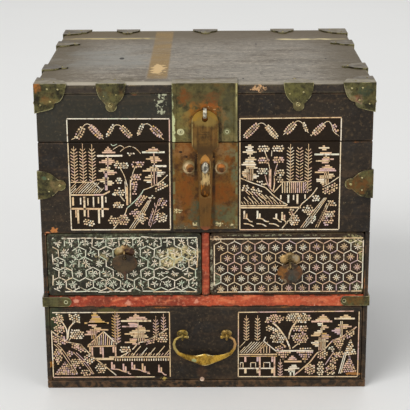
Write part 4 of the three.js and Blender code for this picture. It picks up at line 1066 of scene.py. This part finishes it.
    def boats(self, *boats, hue=None):
        """Small boats: a tall and a short upright over a hull line that sinks to the right."""
        for x, z, length in boats:
            self.posts((x, z + 6, z + 0.3), (x + 1.8, z + 3.7, z), wide=1.3, hue=hue)
            hull = ((-0.8, 0), (length * 0.4, -0.7), (length * 0.7, -2.6), (length, -3))
            self.line(*((x + run, z + drop) for run, drop in hull), wide=0.85, hue=hue)

    def inside(self, start, end, frame_low, frame_high, wide, hue):
        """The part of a straight strip that lies inside the panel, if there is any."""
        low, high = 0.0, 1.0
        for a, b, least, most in zip(start, end, frame_low, frame_high):
            if abs(b - a) < 1e-9:
                if not least <= a <= most:
                    return
                continue
            cuts = sorted(((least - a) / (b - a), (most - a) / (b - a)))
            low, high = max(low, cuts[0]), min(high, cuts[1])
        if low < high:
            start, end = Vector(start), Vector(end)
            self.strip(start.lerp(end, low), start.lerp(end, high), wide, hue)

    def bits(self, low, high, count):
        """Short strips that have come loose and were pressed back anyhow."""
        for _ in range(count):
            x, z = self.random.uniform(low[0], high[0]), self.random.uniform(low[1], high[1])
            turn, half = self.random.uniform(0, math.pi), self.random.uniform(0.5, 1.5)
            run, rise = half * math.cos(turn), half * math.sin(turn)
            hue = self.random.choice((WHITE, WHITE, 0.1, GREEN))
            self.strip((x - run, z - rise), (x + run, z + rise), 0.55, hue)

    def star_field(self, low, high, first, pitch, row_pitch, star, hues, rise=0.0, wide=0.58):
        """Joined hexagons from border to border, each with an eight-rayed star in it."""
        half, peak = pitch / 2, row_pitch * 2 / 3
        shoulder = peak / 2
        columns = int((high[0] - low[0]) / pitch) + 3
        rows = int((high[1] - low[1]) / row_pitch) + 3
        for row in range(-1, rows):
            for column in range(-1, columns):
                x = first[0] + pitch * (column + (0.5 if row % 2 else 0.0))
                z = first[1] - row_pitch * row + rise * (x - low[0])
                corners = [(x - half, z - shoulder), (x - half, z + shoulder)]
                corners += [(x, z + peak), (x + half, z + shoulder)]
                hue = self.random.choice(hues)
                for start, end in zip(corners, corners[1:]):
                    self.inside(start, end, low, high, wide, hue)
                clear = min(x - low[0], high[0] - x, z - low[1], high[1] - z)
                if clear <= STAR_MARGIN:
                    continue
                hue = self.random.choice(hues)
                for ray in range(8):
                    turn = math.radians(45 * ray)
                    reach = star * (SHORT_RAY if ray % 2 else 1.0)
                    tip = (x + reach * math.cos(turn), z + reach * math.sin(turn))
                    self.inside((x, z), tip, low, high, wide - 0.06, hue)

    def done(self):
        mesh = bpy.data.meshes.new(self.name)
        self.bm.to_mesh(mesh)
        self.bm.free()
        return place_piece(mesh, self.name, self.body, shell)


# The two panels on the front: their borders run across the parting line, so the upper ends and the
# arched sprays are on the lid, and the landscapes are on the body.
LID_EDGE = 208.2
BODY_EDGE = 207.2

work = ShellWork("inlay_lid_left", "lid_front_board", "lid", 11)
work.border((-106.6, 226.6), (-27.4, 226.2), hue=WHITE)
work.border((-106.6, LID_EDGE), (-106.6, 226.1), hue=0.12)
work.border((-27.5, LID_EDGE), (-27.5, 225.7), hue=PEACH)
work.garland(
    ((-103.4, 210.1), (-98.5, 213), (-94.5, 220), (-91.4, 222.4), (-88, 221), (-83, 215.3), (-78.6, 210.2)),
    ((-99, 211.5), (-94.6, 219), 2, PEACH),
    ((-88.6, 220.4), (-80.8, 212), 1.7, PINK),
)
work.garland(
    ((-76.6, 212), (-72.5, 217), (-70.5, 220.6), (-67.4, 221.6), (-64.3, 219.8), (-57.2, 211.8)),
    ((-75.2, 213.8), (-70.6, 221.2), 1.2, CREAM),
    ((-64.3, 219.6), (-58, 212.6), 1.7, PEACH),
)
work.garland(
    ((-52.2, 213), (-49.6, 217), (-48, 221), (-44.5, 222.3), (-41.2, 220), (-36, 213.5), (-32, 209.8)),
    ((-51.3, 214.6), (-48.2, 221.8), 1.3, CREAM),
    ((-40.8, 219.2), (-34.3, 212.8), 1.8, GOLD - 0.3),
)
work.done()

work = ShellWork("inlay_body_left", "front_board", "carcass", 12)
work.border((-106.4, BODY_EDGE), (-106, 136.8))
work.border((-27.6, BODY_EDGE), (-27.7, 136.8), hue=PEACH)
work.border((-106.2, 136.5), (-27.6, 136.3))
work.cedar(-102, 176, 204.6, hue=PEACH)
work.cedar(-95.2, 176, 206.8, hue=PEACH)
work.cedar(-88, 176, 206.4, hue=PEACH)
# the pavilion on stilts
work.hatch((-105.4, 170.8), (-105.4, 166.6), (4.2, 4.3))
work.hatch((-103.6, 166.6), (-91.4, 166.6), (8.4, 8.6))
work.hatch((-89.4, 166.6), (-83.7, 166.6), (4.6, 4.7), vary=0.3)
work.line((-105.4, 175.6), (-87.5, 175.6), wide=0.6)
work.line((-87.5, 175.6), (-81.4, 169.4), wide=0.6)
work.line((-105.5, 165.3), (-82.5, 165.3), (-79.5, 165.8), (-74.8, 168.2), wide=1.1, hue=PEACH)
work.posts(
    (-98, 163, 157.5), (-92.3, 162.6, 156.6), (-87.9, 163.6, 155.2), (-84, 163.4, 158.2),
    (-78.2, 163.6, 159)
)
work.posts((-104, 163.4, 156.6), (-95.1, 163.8, 147.7), (-81, 164.4, 147), wide=1.5)
work.strip((-105.6, 154), (-76, 153.6), 1.4, PEACH)
work.posts((-102, 153, 146.8), (-92.3, 153, 147))
work.posts((-100.3, 153, 141.8), (-83.9, 153, 141.8), wide=1.4)
work.clump(-92, 142.4, 5.4, 3, -15)
# the first pine
work.boughs(203.6, (-76, -74.8), (-77.2, -73.6), (-78.4, -72.2), (-80, -69.8), (-80.6, -69), hue=PEACH)
work.strip((-84, 196.9), (-64.4, 196.9), 1.4, WHITE)
work.boughs(194.4, (-77.6, -72.8), (-80.6, -70.6), (-82.6, -70), (-77.6, -72.8), hue=PEACH)
work.boughs(187.4, (-77.4, -74), (-81.6, -74.6), (-83, -71.4), (-79.4, -69), (-76.2, -71), hue=PEACH)
work.boughs(178.9, (-80.2, -75.4), (-84.6, -75.8), (-82.4, -72.8), (-79.4, -71.4), (-78.2, -73))
work.strip((-75.7, 196.2), (-75.9, 186), 0.8, PINK)
work.strip((-77.5, 185), (-77.5, 169), 2, LILAC)
# the mountains and the pale shrub under them
work.line((-71.4, 202), (-69.3, 203.4), (-66.6, 205), (-64.4, 204.6), (-62.6, 202.9), wide=0.45)
work.line((-66, 200.2), (-62.6, 202.9), (-58.4, 204.4), (-54, 202.8), (-50, 198.6), wide=0.45)
work.line((-73, 206.4), (-71.5, 205), (-68.4, 206.2), hue=GREEN)
work.clump(-57.6, 198.7, 3.2, 1.8, hue=WHITE)
# the flowering tree
work.line((-61.4, 156.8), (-61.4, 171.5), wide=1.5, hue=PEACH)
work.line((-60.8, 171), (-63, 180), (-66.5, 187.4), wide=0.55)
work.line((-62.4, 162), (-62.8, 176), wide=0.6, hue=PEACH)
work.line((-59, 158), (-58.4, 177.2), wide=0.9)
work.line((-57.8, 176), (-56.8, 182), (-54.4, 188), wide=0.55)
work.line((-63.6, 160), (-67.5, 165.5), wide=0.6)
work.clumps(
    (-66.5, 189, 5.4, 3.4),
    (-62.2, 189, 3.5, 2.8, 0, WHITE),
    (-53, 189.8, 5.8, 3, 0, PINK),
    (-67.4, 176.8, 3.4, 2.8, 0, WHITE),
    (-53.8, 179.6, 4.2, 3, 0, PINK),
    (-55.2, 173.6, 2.4, 3, 0, PINK),
    (-55.6, 168, 2.2, 3, 0, PINK),
    (-67.6, 167, 5, 3.6),
    (-68.6, 156.8, 4.4, 2.8),
)
# the second pine
work.boughs(203.2, (-41.2, -39), (-44, -36.6), (-46, -35.6), hue=PEACH)
work.strip((-49, 199.6), (-31.4, 199.6), 1.4, WHITE)
work.boughs(195.6, (-43, -36.4), (-46, -35.2), (-42.4, -33.8), (-42, -37.6), hue=PEACH)
work.strip((-41, 188.4), (-30.2, 188.4), 1.5, WHITE)
work.boughs(187.4, (-43.2, -37.4), (-45.6, -36.2), (-48.8, -34), hue=PEACH)
work.boughs(183.2, (-38.4, -31.2), (-38.2, -32.2), (-38, -34.4), hue=WHITE)
work.boughs(180.7, (-44.4, -40.8), (-47, -40.6))
work.boughs(176.9, (-48.2, -42.4), (-45.8, -42), hue=WHITE)
work.line((-39.9, 199), (-39.5, 187), wide=0.9, hue=GOLD - 0.1)
work.stems(187, 172.6, -42, -39.9, -37.9, wide=0.7, hue=GOLD - 0.1)
# the hill, its shrubs and the reeds below it
work.line((-61.4, 154.6), (-55, 160.4), (-50.6, 165.4), (-48.6, 169), wide=0.65, hue=GREEN)
work.line((-48.6, 169), (-42, 171.6), (-36, 175), (-29.4, 181.2), wide=0.6)
work.line((-61.6, 154.4), (-63.6, 149), (-67.2, 144), (-72.6, 137.4), wide=0.65)
work.clumps(
    (-35, 172, 6, 3.4, 28),
    (-50.6, 161, 6.4, 3, 52, PINK - 0.06),
    (-55.4, 149.6, 5.2, 3.8, 0, PINK - 0.06),
    (-49.4, 145.4, 3.4, 4.6, -25),
    (-72, 144, 4.6, 3.8),
    (-64.6, 144.6, 4.6, 5, 0, PEACH),
    (-33.6, 158.4, 3.8, 3.8, 0, GOLD - 0.25),
    (-34.4, 146.2, 4.8, 4, 20),
    (-42.2, 162.6, 2.2, 1.8, 0, WHITE),
)
for offset in (0, 1.7, 3.4):
    work.line((-60 + offset, 137.4), (-52.4 + offset, 149), (-44.8 + offset / 2, 160.5))
work.line((-43.6, 138.4), (-40.6, 148), (-36.6, 161.5), hue=PINK)
work.hatch((-48, 155), (-44, 161.5), (2.4, 1))
work.hatch((-44.4, 139.6), (-39.4, 155), (-0.6, 3.4), 2.2, 0.5, PINK)
work.hatch((-41.6, 141), (-37.8, 153.6), (2.6, 2.4), 2.2, 0.5, PINK)
work.done()

work = ShellWork("inlay_lid_right", "lid_front_board", "lid", 21)
work.border((26.6, 226), (105.4, 226.6))
work.border((27, LID_EDGE), (27, 225.5))
work.border((105.2, LID_EDGE), (105.2, 226.1))
work.garland(
    ((30, 211), (36, 216.5), (40.6, 221.2), (43.6, 222.5), (46.6, 221), (50, 216), (56.2, 210)),
    ((31.4, 212), (40.4, 221), 1.8, PEACH),
    ((48, 219.6), (55.2, 211.4), 1.7, CREAM),
)
work.garland(
    ((60.6, 213.2), (66, 218.5), (69, 222.4), (72, 224), (75.4, 222), (77.4, 217.6), (82.6, 212)),
    ((62.8, 215), (69, 221.8), 1.9, PEACH),
    ((76, 222), (78.4, 216.6), 1, CREAM),
)
work.garland(
    ((82.6, 213), (87, 217), (91.4, 221.6), (95, 223.6), (97.6, 221), (99.4, 215.6), (103.6, 212)),
    ((84.4, 213.8), (91.4, 220.8), 1.7, GOLD - 0.35),
    ((99.6, 220.6), (102, 216), 1.3, PINK),
)
work.done()

work = ShellWork("inlay_body_right", "front_board", "carcass", 22)
work.border((27, BODY_EDGE), (27.1, 136))
work.border((105.1, BODY_EDGE), (105.3, 136))
work.border((27, 136), (105.2, 135.8))
# the first pine
work.boughs(204.8, (33.4, 35.8), (31.2, 37.6), (33, 36.4), (31.8, 37.4), (29.2, 40), (32.6, 37))
work.boughs(
    194.7, (33.4, 38.4), (31.4, 39.8), (31, 37.8), (29.6, 38.8), (28.2, 39.6), (31.8, 39),
    (34, 40.8)
)
work.boughs(184.9, (30.6, 34.4), (29, 34.6), (28.6, 33.4), (29.2, 32), (29.8, 32.2))
work.boughs(181.3, (37, 39.8), (37, 41.8), (37.2, 40.2), hue=WHITE)
work.strip((35, 198), (35, 194), 0.8)
work.stems(187.5, 176.4, 32.6, 34.1, 35.6, 37.1)
# the flowering tree
work.line((50.6, 170.4), (50.6, 185.6), wide=1.8, hue=PINK)
work.line((50.4, 185), (49, 192), (46.4, 199.6), wide=0.55)
work.line((54, 178), (54.6, 184), (56.4, 190), wide=0.55, hue=PINK)
work.line((52.6, 167.4), (49, 173), (46.6, 181), wide=0.6, hue=PINK)
work.line((53, 167.4), (54, 173), (54, 180), wide=0.8, hue=PEACH)
work.line((51.6, 196), (51.8, 200.5))
work.clumps(
    (45.4, 202, 5.4, 2.8),
    (56.6, 202.2, 4.8, 2.6),
    (45.4, 192.6, 4.6, 3, 0, PINK),
    (57, 193, 5, 2.6, 0, PINK),
    (45, 184, 4.8, 2.6, 0, WHITE),
    (57.6, 182.6, 3.9, 3.8),
    (58, 177, 3.4, 3.2),
    (42.6, 175.4, 3, 1.8, 0, WHITE),
    (46, 173.4, 2.6, 1.8),
    (80.6, 168.4, 3, 1.5, 0, PINK),
)
work.cedar(66.3, 176.4, 205.6)
work.cedar(73.5, 176.4, 205.2, hue=PINK - 0.1)
work.cedar(80.3, 167.5, 205.8, hue=PEACH)
# the pavilion behind the bank
work.hatch((60.4, 166.2), (66, 166.2), (0, 8.6), 1.8, 0.7)
work.hatch((67.6, 166.2), (80, 166.2), (0, 8.6), 1.45, 0.75, PINK)
work.line((59.8, 175.2), (77.4, 175.2), wide=0.6)
work.line((53.6, 166.4), (59.6, 173.6), wide=0.7)
work.line((54.4, 165.3), (84, 165.3), wide=0.8)
work.posts((59.2, 164.4, 161), (69.2, 164.4, 160.4), (78.2, 164.8, 161.4))
work.posts((65.1, 164.6, 158), (72.2, 165, 157), wide=1.4, hue=WHITE)
# the second pine
work.boughs(203.8, (91.2, 93), (88.2, 96.4), (90.8, 94.2), (89, 95.6), (89.2, 98.2), hue=PEACH)
work.strip((85, 197.2), (104.2, 197.2), 1.3, WHITE)
work.boughs(194.7, (92, 96.6), (90.8, 100), (86.2, 97), (90.8, 96), hue=GOLD - 0.35)
work.boughs(188.2, (93.4, 97), (91, 99), (89.2, 101), (88, 102), (85.6, 95), hue=PEACH)
work.boughs(181, (96, 100), (89.4, 101), (89.4, 99), (86.8, 94), (87, 94.2), (90, 94), (91.2, 93.6))
work.strip((94, 197), (94, 194), 0.8)
work.stems(184, 172.4, 93.2, 94.6, 96)
# the slopes on both sides, the bank and the water
work.line(
    (27.6, 178.4), (35, 175.2), (44, 171.8), (48, 169.8), (53.6, 164), (60, 159), (64.6, 156.4),
    wide=0.7
)
work.line((104.4, 179), (98, 174.4), (92, 171), wide=0.6)
work.line(
    (87.6, 170.4), (84, 165), (79, 160), (76, 157.4), (74, 154.4), (69.6, 148.6), (60.4, 137),
    wide=0.7
)
work.strip((27.6, 155.8), (64, 155.8), 0.9)
work.strip((27.6, 154.2), (75, 154.2), 1.1)
work.hatch((29.6, 157), (61.5, 157), (-1.8, 2.6), 2.1, 0.5, PEACH, 0.4)
work.hatch((34, 158.6), (56, 158.6), (-5.2, 5.6), 3.4, 0.6, CREAM, 0.3)
work.hatch((30.5, 168.8), (50.5, 163.6), (4.8, -4.8), 3.4, 0.6, PEACH, 0.3)
work.boats((30.6, 145.6, 6.4), (41, 145.6, 9), (54, 145.4, 6), (60.4, 144.4, 4.4))
for x in (31, 41, 51):
    work.line((x - 0.8, 141), (x + 3.6, 140.5), (x + 7, 138.6), wide=0.8)
work.clumps(
    (31.8, 170.4, 3.4, 2.6),
    (40, 168.2, 4.8, 3, -10),
    (97.5, 169.6, 6.4, 3.8, 28, PEACH),
    (87.4, 161.6, 3.2, 3.4, 0, WHITE),
    (80.6, 152, 4.8, 4),
    (68, 150.4, 2.6, 2.4, 0, PEACH),
    (70, 143.6, 4.6, 4.6),
    (83.4, 143.4, 4.8, 2.6, 50, WHITE),
    (99.4, 157.6, 3.6, 3.4),
    (96.4, 143.4, 4.6, 4, 0, GOLD - 0.35),
    (98.4, 148.6, 4.6, 3),
)
for offset in (0, 1.8, 3.6):
    work.line((75.2 + offset, 137.6), (83.6 + offset, 149.5), (93.4 + offset / 2, 162))
for offset in (0, 1.7):
    work.line((86.8 + offset, 137.8), (91 + offset, 147), (95.4 + offset, 157.6), hue=PEACH)
work.hatch((87.6, 140), (93.6, 153.4), (1.6, 2.2), 1.7, 0.45, PEACH)
work.done()

# The small drawers: hexagons with stars from border to border. The left one is badly worn: pieces
# have slipped or gone, and what is left has turned greenish.
work = ShellWork("inlay_drawer_left", "drawer_left_front", "drawer_left", 31, WHITE, 0.2, 0.26)
work.star_field(
    (-121.8, 84.6), (-6.8, 129.6), (-117.4, 125.6), 10.9, 8.7, 3.2,
    (0.1, 0.15, WHITE, 0.04, 0.12, 0.23), wide=0.68
)
work.bits((-120, 86), (-8, 128), 260)
work.border((-121.8, 129.6), (-6.8, 129.6), piece=9)
work.border((-113, 84.6), (-6.8, 84.2), piece=9)
work.border((-122, 90), (-122, 125), piece=9)
work.border((-6.9, 104), (-6.9, 129), piece=9, hue=CREAM)
work.done()

work = ShellWork("inlay_drawer_right", "drawer_right_front", "drawer_right", 32, CREAM, 0.01, 0.04)
palette = (WHITE, CREAM, 0.46, PINK - 0.06, 0.28, PINK)
work.star_field((6.9, 83.6), (124.9, 128.2), (12, 120.4), 10.87, 8.6, 3, palette, 0.0095)
work.border((6.9, 128.3), (124.9, 128.7))
work.border((9, 83.5), (124.9, 83.9))
work.border((6.8, 89), (6.8, 124))
work.border((125, 86), (125, 127), hue=WHITE)
work.done()

# The wide drawer: a landscape of strips and grains at each side of the bail. The left one has a
# pavilion over water with boats, and the right one a house among trees.
work = ShellWork("inlay_drawer_wide_left", "drawer_wide_front", "drawer_wide", 41)
work.border((-124, 66.4), (-29.4, 66.4))
work.border((-29.5, 9.8), (-29.5, 66.4), hue=PEACH)
work.border((-125.1, 10), (-125.1, 51))
work.border((-125, 9.7), (-42, 9.7), hue=PEACH)
# the flowering tree at the left edge
work.line((-112.6, 43), (-112.8, 51), (-115, 56), (-117.2, 60), wide=0.9)
work.line((-112, 44), (-111, 52), (-109, 55.4), (-105.8, 58.6), wide=1)
work.line((-111.4, 42), (-108.8, 45.8), wide=0.6)
work.clumps(
    (-119.4, 61, 5.2, 4.2, -15, PEACH),
    (-106.2, 61.4, 5.4, 3.8, -20),
    (-118.8, 51.6, 4.8, 3.8, -20, PEACH),
    (-104.6, 47.6, 5.4, 5.2),
    (-118.4, 43, 7, 4, -25, PINK - 0.08),
    (-120.8, 28.6, 3.6, 8.4, 0, PEACH),
    (-111, 30.6, 3.6, 2.8, -20, PINK + 0.06),
    (-103.6, 35.4, 6.4, 3.4, -30, PINK - 0.08),
    (-95.2, 26, 3.6, 4.6, 35),
    (-105, 21.8, 5.6, 4.4, 0, PEACH),
    (-98.4, 13.6, 4.2, 2.6, 0, PEACH),
    (-86, 17.4, 4.8, 5),
    (-66, 34, 4, 3.4),
    (-44.2, 41.8, 6.8, 3.2, 15, PINK - 0.08),
    (-34.8, 44.4, 3.4, 5, 0, PEACH),
)
work.wedge((-115, 22.8), (-123, 12.6), (-106, 12.6), PINK - 0.06)
work.line((-125, 50.4), (-120, 46), (-114, 41.6), (-109, 40), (-102, 38.6), wide=0.8)
work.line((-102, 38.6), (-98, 34), (-92, 27.4), (-84, 20.6), (-73.6, 11.2), wide=0.8)
for offset in (0, 2.2):
    work.line(
        (-123.6 + offset, 39), (-119 + offset, 34), (-112.4 + offset, 23),
        (-106.4 + offset / 2, 13), hue=PEACH
    )
    work.line((-108 + offset, 31.6), (-100 + offset, 22.6), (-93 + offset / 2, 12.4), hue=PINK)
# the gold pine, the tall cedar and the pavilion
work.boughs(
    65.2, (-91, -88.4), (-92.4, -87), (-92, -85.8), (-92.6, -85), (-93.6, -84), (-94.4, -82),
    (-96, -80), hue=GOLD
)
work.strip((-98.2, 57.2), (-78.6, 57.2), 1.3, GOLD)
work.boughs(
    55.4, (-95.2, -88.4), (-92.4, -89), (-90.6, -85), (-94, -79.2), (-97, -86), (-96, -88),
    (-98.4, -90), hue=GOLD - 0.4
)
work.stems(52, 43.4, -92.6, -91, -89.4, hue=GOLD)
work.cedar(-73.4, 40, 67.6, 2.9, GOLD)
work.cedar(-71.8, 40, 66.4, 2.6, GOLD - 0.3)
work.line((-83, 49.8), (-96, 37.6), wide=0.9)
work.line((-83, 49.8), (-72.4, 38.8), wide=0.9)
for i in range(12):
    x = -93.6 + 1.7 * i
    peak = 49 - abs(x + 83) * (0.92 if x < -83 else 1)
    work.strip((x - 0.3, 38), (x + 0.3, peak), 0.7, PINK if i % 2 else CREAM)
work.strip((-96.4, 36.8), (-73, 37.2), 1.1, PINK)
work.posts((-92.7, 36, 26.4), (-84, 36, 26.4), (-73.7, 38, 26.4), wide=1.2, hue=PINK)
work.posts((-94.4, 37, 32), (-85.8, 36, 30.2), (-75.4, 37, 31.4), wide=1.4, hue=PINK)
work.strip((-90, 25.8), (-75.4, 25.8), 1.8)
work.strip((-79, 27.4), (-30, 27.4), 1)
work.hatch((-74, 26), (-31, 26), (0, -2), 1.9, 0.85)
# the second pine and two cedars on the far slope
work.boughs(64.6, (-57.6, -56), (-58.6, -54), (-62, -49), (-64, -47.6), hue=PEACH)
work.strip((-68.6, 58.9), (-44.4, 58.9), 1.4, WHITE)
work.boughs(56.8, (-63, -55.6), (-62, -55.4), (-68, -55.6), hue=LILAC)
work.boughs(
    54.4, (-54.4, -51.6), (-55.6, -49.6), (-57, -49), (-60, -45.4), (-62, -49), (-66, -50),
    (-61, -48), (-59, -47), hue=GOLD - 0.45
)
work.boughs(43, (-62, -56), (-62, -56.4), (-66, -57), (-60, -54), hue=GOLD - 0.4)
work.stems(58, 40.6, -55)
work.stems(50, 40.6, -53.4, -51.8, -50.4)
work.cedar(-40.6, 45.6, 63, 2.3, PINK)
work.cedar(-34.4, 50.6, 65, 2, PINK)
work.line(
    (-69.6, 28), (-65, 30.6), (-60, 34), (-55, 39.6), (-50, 41), (-44, 44), (-37, 48), (-31, 52.2),
    wide=0.8
)
work.hatch((-60, 28.6), (-34, 28.6), (7, 8.6), 5.8, 0.6, CREAM, 0.25)
work.hatch((-66, 28.6), (-32, 28.6), (1.9, 2.6), 2.2, 0.5, PEACH, 0.4)
work.boats((-77, 17, 14), (-67.6, 15.4, 6), (-60.5, 16.8, 14), (-52, 15.6, 6), (-38.6, 14.4, 6), hue=PINK)
work.done()

work = ShellWork("inlay_drawer_wide_right", "drawer_wide_front", "drawer_wide", 42)
work.border((26, 66), (119, 66.6), hue=PEACH)
work.border((26.1, 9.6), (26.1, 66))
work.border((123.6, 10), (123.4, 66.2), hue=PINK - 0.1)
work.border((26, 9.6), (123.6, 9.2))
work.cedar(32.6, 41.6, 63.4, 2.2, PEACH)
work.cedar(41.6, 41.6, 63.2, 2.2)
# the house
work.line((26.8, 41), (47, 41), wide=0.7)
work.line((46.6, 41), (48.2, 44.6), wide=0.8)
work.line((46.6, 41), (57.4, 31.6), wide=0.8)
work.hatch((27.2, 35.6), (27.2, 31), (4.4, 5), 2.3, 0.5)
work.hatch((28.4, 30.4), (41.4, 30.4), (8.6, 9.8))
work.line((43.4, 36.6), (50, 36.6), wide=0.6, hue=GOLD)
work.hatch((44.4, 30.4), (51.5, 30.4), (0, 5.8), 1.8, 0.6, PEACH)
work.strip((26.8, 29.2), (57.6, 29.2), 1)
work.strip((26.8, 27.6), (57.6, 27.6), 0.6, LILAC)
work.posts((33.4, 27, 10.2), (43.6, 27, 10.2), (55.6, 27, 10.2), wide=1.3, hue=PINK + 0.05)
work.posts((31.8, 27, 22.6), (41.8, 27, 23), (53.8, 27, 22.6), wide=1.6, hue=PINK + 0.08)
work.posts((31.9, 16.4, 12.6), (41.9, 16.4, 12.6), (53.9, 16.4, 12.6), wide=1.9, hue=PEACH)
work.strip((26.8, 16.9), (55, 16.9), 1, WHITE)
for left, right in ((27.8, 30), (36.2, 40.2), (46.8, 51.8)):
    work.line((left, 17.6), (left, 22), (right, 22), (right, 17.6), wide=0.6, curved=False)
work.cedar(60.3, 10.4, 25, 1.9, PINK)
# the flowering tree behind the beam
work.line((68.4, 33.6), (65.6, 41), (61.6, 48), (57, 54), (53.6, 56.6), wide=1.2)
work.line((66.8, 42.6), (67.8, 48), (70, 53.6), (72.6, 57), wide=1.1)
work.line((70, 34.6), (74.6, 38.6), wide=0.7)
work.line((60.6, 39), (64.8, 36), wide=0.8)
work.clumps(
    (54.8, 60, 8.4, 3.8, 8, PINK - 0.1),
    (74.4, 60.8, 10.8, 4.4, 0, CREAM + 0.06),
    (76, 51.8, 7.2, 3.4, 0, PEACH),
    (54.4, 50.2, 6.2, 3.2, -25),
    (58, 43.6, 5.8, 4.6),
    (76.4, 43.4, 7, 5.2, 0, PEACH + 0.06),
    (60, 34.4, 4, 2.6, 20, PEACH),
    (80.6, 34.2, 5.6, 1.4),
    (116, 46.4, 5.6, 3.4, 35, PEACH),
    (101.6, 33.6, 3.2, 2, 0, WHITE),
    (94.6, 28.6, 5.8, 3.6, 30, PEACH),
    (109.2, 29, 3, 2.4, 0, PEACH),
    (102, 15.6, 5.6, 4.2, 40, PEACH),
    (104.6, 25.4, 3, 6.4, -25, PEACH),
    (93.2, 16.6, 3, 6.2),
    (84.4, 15.6, 4.6, 5.4, 25, PEACH),
)
work.strip((56.8, 32.2), (87, 32.2), 1.3)
work.wedge((62.8, 25), (57.6, 30.8), (68, 30.8), PEACH)
work.wedge((80.4, 23), (74.4, 30.8), (86.4, 30.8), PINK)
work.wedge((108.6, 33), (102.4, 41.4), (111.4, 42.4), PEACH)
work.wedge((117, 41), (112.4, 28.6), (121.4, 29.6))
work.wedge((116.4, 26.2), (111, 13.6), (121.6, 14.4), PINK)
# the small pine below the beam
work.boughs(27.4, (69, 71), (67.6, 72.4), (66.4, 73.6), hue=GOLD - 0.4)
work.strip((63.4, 22.8), (77.6, 22.8), 1.4, GOLD - 0.45)
work.boughs(19.4, (69.6, 73.4), (68, 74), (66.8, 75.8), (63.8, 72.4), (67, 71.2), hue=WHITE)
work.strip((70.4, 22), (70.4, 10.4), 0.9)
work.posts((68.8, 14.6, 10.4), (71.6, 14.6, 10.4), wide=1.2, hue=WHITE)
# the pines on the far slope
work.boughs(63.2, (93.4, 95.4), (91.6, 97.4), (90, 98.6), (88.4, 99.6), hue=PEACH)
work.strip((85, 57.8), (101.8, 57.8), 1.4, PINK)
work.boughs(55.9, (90, 93.6), (90.6, 93), hue=WHITE)
work.boughs(53.9, (94.4, 97.4), (93, 99), (92.4, 96), hue=GOLD - 0.45)
work.boughs(49.6, (90, 93), (87.6, 93), (87, 94), (85, 92))
work.boughs(47.2, (93.4, 97.6), (93.2, 99.4), (93, 101), (91.4, 99.2), hue=GOLD - 0.02)
work.boughs(41.9, (91, 96), (88, 99), (85.2, 92), (86.4, 91.4), (88.4, 92))
work.strip((94, 57), (93.4, 44), 0.8, PEACH)
work.stems(44, 32.6, 91.6, 93.2, 94.8, 96.4, wide=0.7)
work.boughs(62.9, (111, 114.6), (108, 116.8), hue=PEACH)
work.strip((103.6, 60.2), (120, 60.2), 1.3)
work.boughs(56, (109, 113), (106.6, 115), (108, 117.6), (105, 114), hue=GOLD - 0.4)
work.boughs(51, (104, 108.8), (101.6, 109), (104, 109), (106, 109.2), hue=LILAC - 0.1)
work.stems(58, 44.4, 108.8, 110, hue=CREAM)
work.line(
    (72, 11), (79, 17), (85, 23), (90, 30), (97, 34.6), (102.6, 41), (109, 43.6), (116, 48.6),
    (121.6, 53), wide=0.9, hue=PEACH
)
work.line((97, 20), (103.6, 31), wide=0.7, hue=GOLD - 0.12)
for x in (110.6, 112):
    work.line((x + 2, 31), (x, 22), (x - 2.4, 12), wide=0.7, hue=WHITE)
work.done()
